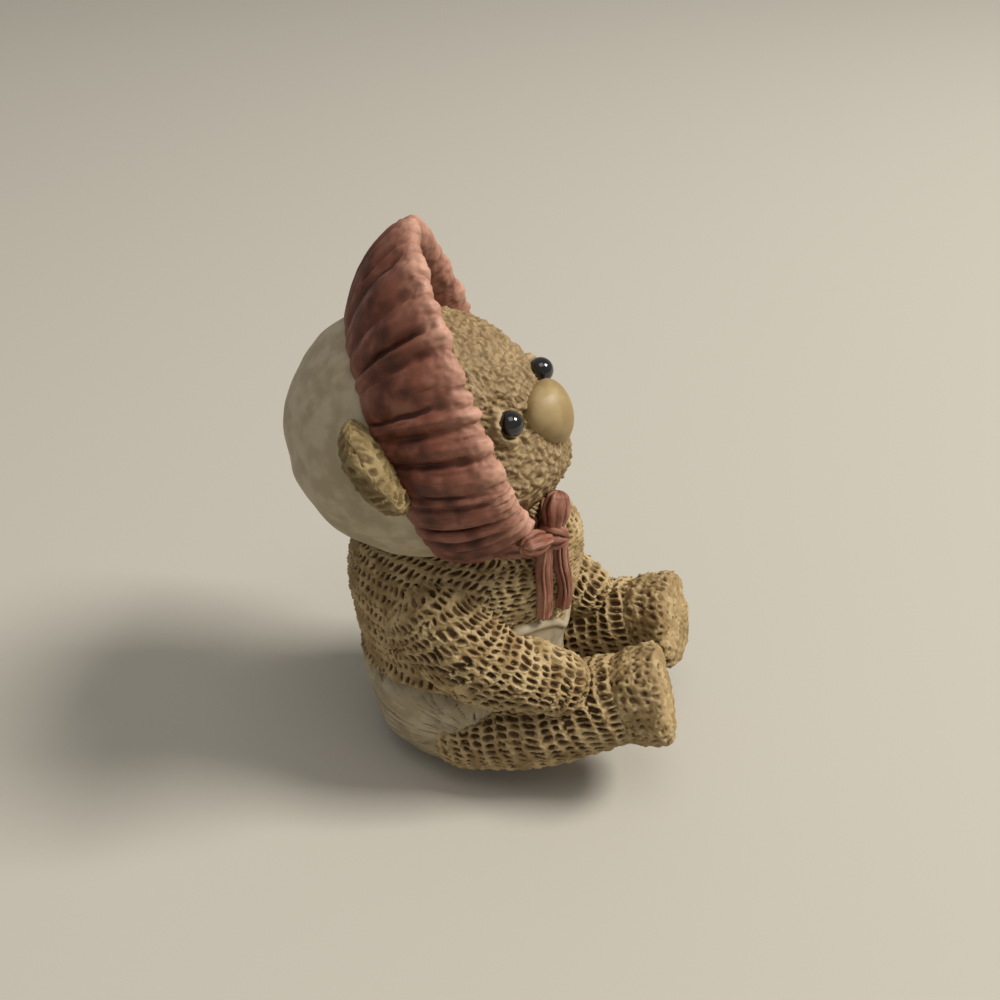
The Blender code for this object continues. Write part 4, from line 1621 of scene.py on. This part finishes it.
@dataclass
class Ribbon:
    """The bow under the right cheek, its tails and the ties to the brim."""

    shop: Workshop
    body: Body
    at: Point = (-5.5, -9.7, 34.6)
    loop: float = 4.4
    tall: float = 1.9
    thick: float = 0.7
    wide: float = 1.5
    drop: float = 9.2
    tail_wide: float = 0.72
    spread: float = 0.3
    behind: float = 0.2
    tail_face: Point = (0.5, 0.87, 0.0)
    gap: float = 0.3
    knot: Point = (1.2, 1.6, 1.4)
    knot_mesh: tuple[int, int] = (70, 110)
    loop_right: Point = (-0.75, 0.50, 0.22)
    loop_left: Point = (0.50, 0.00, 0.87)
    tall_right: float = 0.62
    tall_left: float = 0.95
    tie_right: Point = (-2.2, 4.9, -0.4)
    tie_left: Point = (7.6, 2.2, -1.6)
    pitch: float = 0.1
    folds: int = 7
    pleats: Gathers = Gathers(depth=0.24, crease_wide=0.24, plump=0.14, fine=0.06, waver=0.8)

    def cast(self, name: str, rings: np.ndarray, along: np.ndarray, seed: int) -> None:
        """One ribbon piece with pleats along its length.

        Args:
            name: Its CAD node.
            rings: Its form.
            along: How far along the skin each ring lies.
            seed: Keeps its pleats apart from another piece's.
        """
        columns = rings.shape[1]
        lay = laid(np.arange(columns) / columns * self.folds, along[:, None] / along[-1], 1.0)
        self.shop.cast(name, Grid(rings, lay), RIBBON_PAINT, replace(self.pleats, seed=seed))

    def build_strip(self, name: str, rows: Rows, square: float, seed: int) -> None:
        """A loop, a tail or a tie.

        Args:
            name: Its CAD node.
            rows: Its sections.
            square: 2 for an oval section, more for a flatter one.
            seed: Keeps its pleats apart from another piece's.
        """
        marks = marks_between(rows.along[-1], self.pitch)
        rows = rows.spaced(marks)
        columns = max(90, int(max(rows.girth) / self.pitch))
        self.cast(name, rows.rings(columns, square), marks, seed)

    def build_knot(self, at: np.ndarray) -> None:
        """The knot, pinched by folds that meet at its front.

        Args:
            at: Its middle.
        """
        count, columns = self.knot_mesh
        rings, along, _ = ball_rings(self.knot, tip_to_tip(count, 0.03), columns)
        self.cast("bow_knot", rings + at, along, 2)

    def loop_rows(self, side: Side, at: np.ndarray) -> Rows:
        """One loop of the bow.

        Args:
            side: Which loop.
            at: The knot's middle.

        Returns:
            Its sections.
        """
        way = unit(np.array(side.pick(self.loop_right, self.loop_left)))
        tall = self.tall * side.pick(self.tall_right, self.tall_left)
        stations = [(*(at + way * self.knot[0] * 0.6), tall * 0.5, self.knot[1] * 0.5),
                    (*(at + way * self.loop * 0.6), tall, self.knot[1] * 0.85),
                    (*(at + way * self.loop * 0.9), tall * 0.8, self.knot[1] * 0.7)]
        return Rows.through(stations, end=0.6, up=(0, 1, 0))

    def tail_rows(self, side: Side, at: np.ndarray) -> Rows:
        """One hanging end, lying on the chest.

        Args:
            side: Which end.
            at: The knot's middle.

        Returns:
            Its sections.
        """
        across = np.array((self.tail_face[1], -self.tail_face[0], 0.0))
        run = []
        for t in (0.0, 0.35, 0.7, 1.0):
            spot = at + across * side.value * (self.tail_wide + self.gap * 0.6 + self.spread * t)
            spot[2] -= self.knot[2] * 0.5 + self.drop * t
            spot[1] = min(spot[1] + self.behind, self.body.chest(spot[0], spot[2]) - self.thick * 0.8)
            run.append((*spot, self.tail_wide, self.thick))
        return Rows.through(run, 0.4, 0.3, up=self.tail_face)

    def tie_rows(self, side: Side, at: np.ndarray) -> Rows:
        """One band from the brim to the knot.

        Args:
            side: Which band.
            at: The knot's middle.

        Returns:
            Its sections.
        """
        start = at + np.array((side.value * self.knot[0] * 0.6, self.knot[1] * 0.5, -0.5))
        end = at + np.array(side.pick(self.tie_right, self.tie_left))
        return Rows.through([(*p, self.thick, self.wide) for p in (end, (start + end) / 2, start)], 0.4, 0.3)

    def build(self) -> None:
        """Knot, loops, tails and ties."""
        at = np.array(self.at)
        self.build_knot(at)
        for side in Side:
            self.build_strip(f"bow_{side.word}_loop", self.loop_rows(side, at), 2.0, 6 + side.value)
            self.build_strip(f"{side.word}_ribbon_tail", self.tail_rows(side, at), 3.0, 12 + side.value)
            self.build_strip(f"{side.word}_chin_tie", self.tie_rows(side, at), 3.0, 18 + side.value)


@dataclass(frozen=True)
class Lamp:
    """A soft lamp: its place and width in mm, its power in watts and its colour."""

    name: str
    place: Point
    size: float
    power: float
    colour: Point


@dataclass
class Studio:
    """Floor, light and camera."""

    eye: Point = (-88.605, -23.387, 100.228)
    look: Point = (0.78828, 0.18199, -0.58779)
    lens: float = 37.8
    sensor: float = 36.0
    clip: tuple[float, float] = (0.005, 10)
    floor_half: float = 600.0
    floor_tone: Tone = (182, 177, 165)
    floor_rough: float = 0.9
    lamps: tuple[Lamp, ...] = (
        Lamp("key", (110, -560, 690), 240, 8.1, (1.0, 0.97, 0.92)),
        Lamp("fill", (-160, -120, 880), 500, 1.6, (1.0, 0.97, 0.93)),
    )
    lit: Point = (0, 0, 28)
    room_colour: tuple = (1.0, 0.98, 0.95, 1.0)
    room_light: float = 0.3

    def stand(self, data: bpy.types.ID, place: Vector, way: Vector) -> bpy.types.Object:
        """Puts up a lamp or a camera.

        Args:
            data: The lamp or camera.
            place: Where it stands, in metres.
            way: Where it faces.

        Returns:
            Its object.
        """
        made = bpy.data.objects.new(data.name, data)
        made.location = place
        made.rotation_euler = way.to_track_quat("-Z", "Y").to_euler()
        bpy.context.scene.collection.objects.link(made)
        return made

    def build_floor(self) -> None:
        """A wide pale floor under the figurine."""
        half = self.floor_half * MM
        made = bpy.data.meshes.new("floor")
        made.from_pydata([(-half, -half, 0), (half, -half, 0), (half, half, 0), (-half, half, 0)], [], [(0, 1, 2, 3)])
        floor = bpy.data.objects.new("floor", made)
        bpy.context.scene.collection.objects.link(floor)
        paint = {"Base Color": paint_colour(self.floor_tone), "Roughness": self.floor_rough}
        made.materials.append(Coating("pale_floor").dress(paint))

    def build_lamps(self) -> None:
        """Every lamp, facing the figurine, and the room's own light."""
        for lamp in self.lamps:
            light = bpy.data.lights.new(lamp.name, "AREA")
            light.size, light.energy, light.color = lamp.size * MM, lamp.power, lamp.colour
            place = Vector(lamp.place) * MM
            self.stand(light, place, Vector(self.lit) * MM - place)
        world = bpy.context.scene.world or bpy.data.worlds.new("room")
        bpy.context.scene.world = world
        world.use_nodes = True
        room = world.node_tree.nodes.get("Background").inputs
        room["Color"].default_value, room["Strength"].default_value = self.room_colour, self.room_light

    def build_camera(self) -> None:
        """The camera at the photo's viewing angle."""
        camera = bpy.data.cameras.new("camera")
        camera.lens, camera.sensor_width = self.lens, self.sensor
        camera.clip_start, camera.clip_end = self.clip
        bpy.context.scene.camera = self.stand(camera, Vector(self.eye) * MM, Vector(self.look))

    def build(self) -> None:
        """Floor, lamps and camera."""
        self.build_floor()
        self.build_lamps()
        self.build_camera()
        bpy.context.scene.view_settings.view_transform = "Standard"


def main() -> None:
    """Builds every sub-assembly in order, then the studio."""
    logging.basicConfig(level=logging.INFO, format="%(name)s %(message)s")
    log.info("%d packed nodes", len(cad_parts))
    shop = Workshop()
    body, head = Body(shop), Head(shop)
    for part in (body, Limbs(shop), head, Bonnet(shop, head), Ribbon(shop, body)):
        part.build()
    Studio().build()


if __name__ == "__main__":
    main()
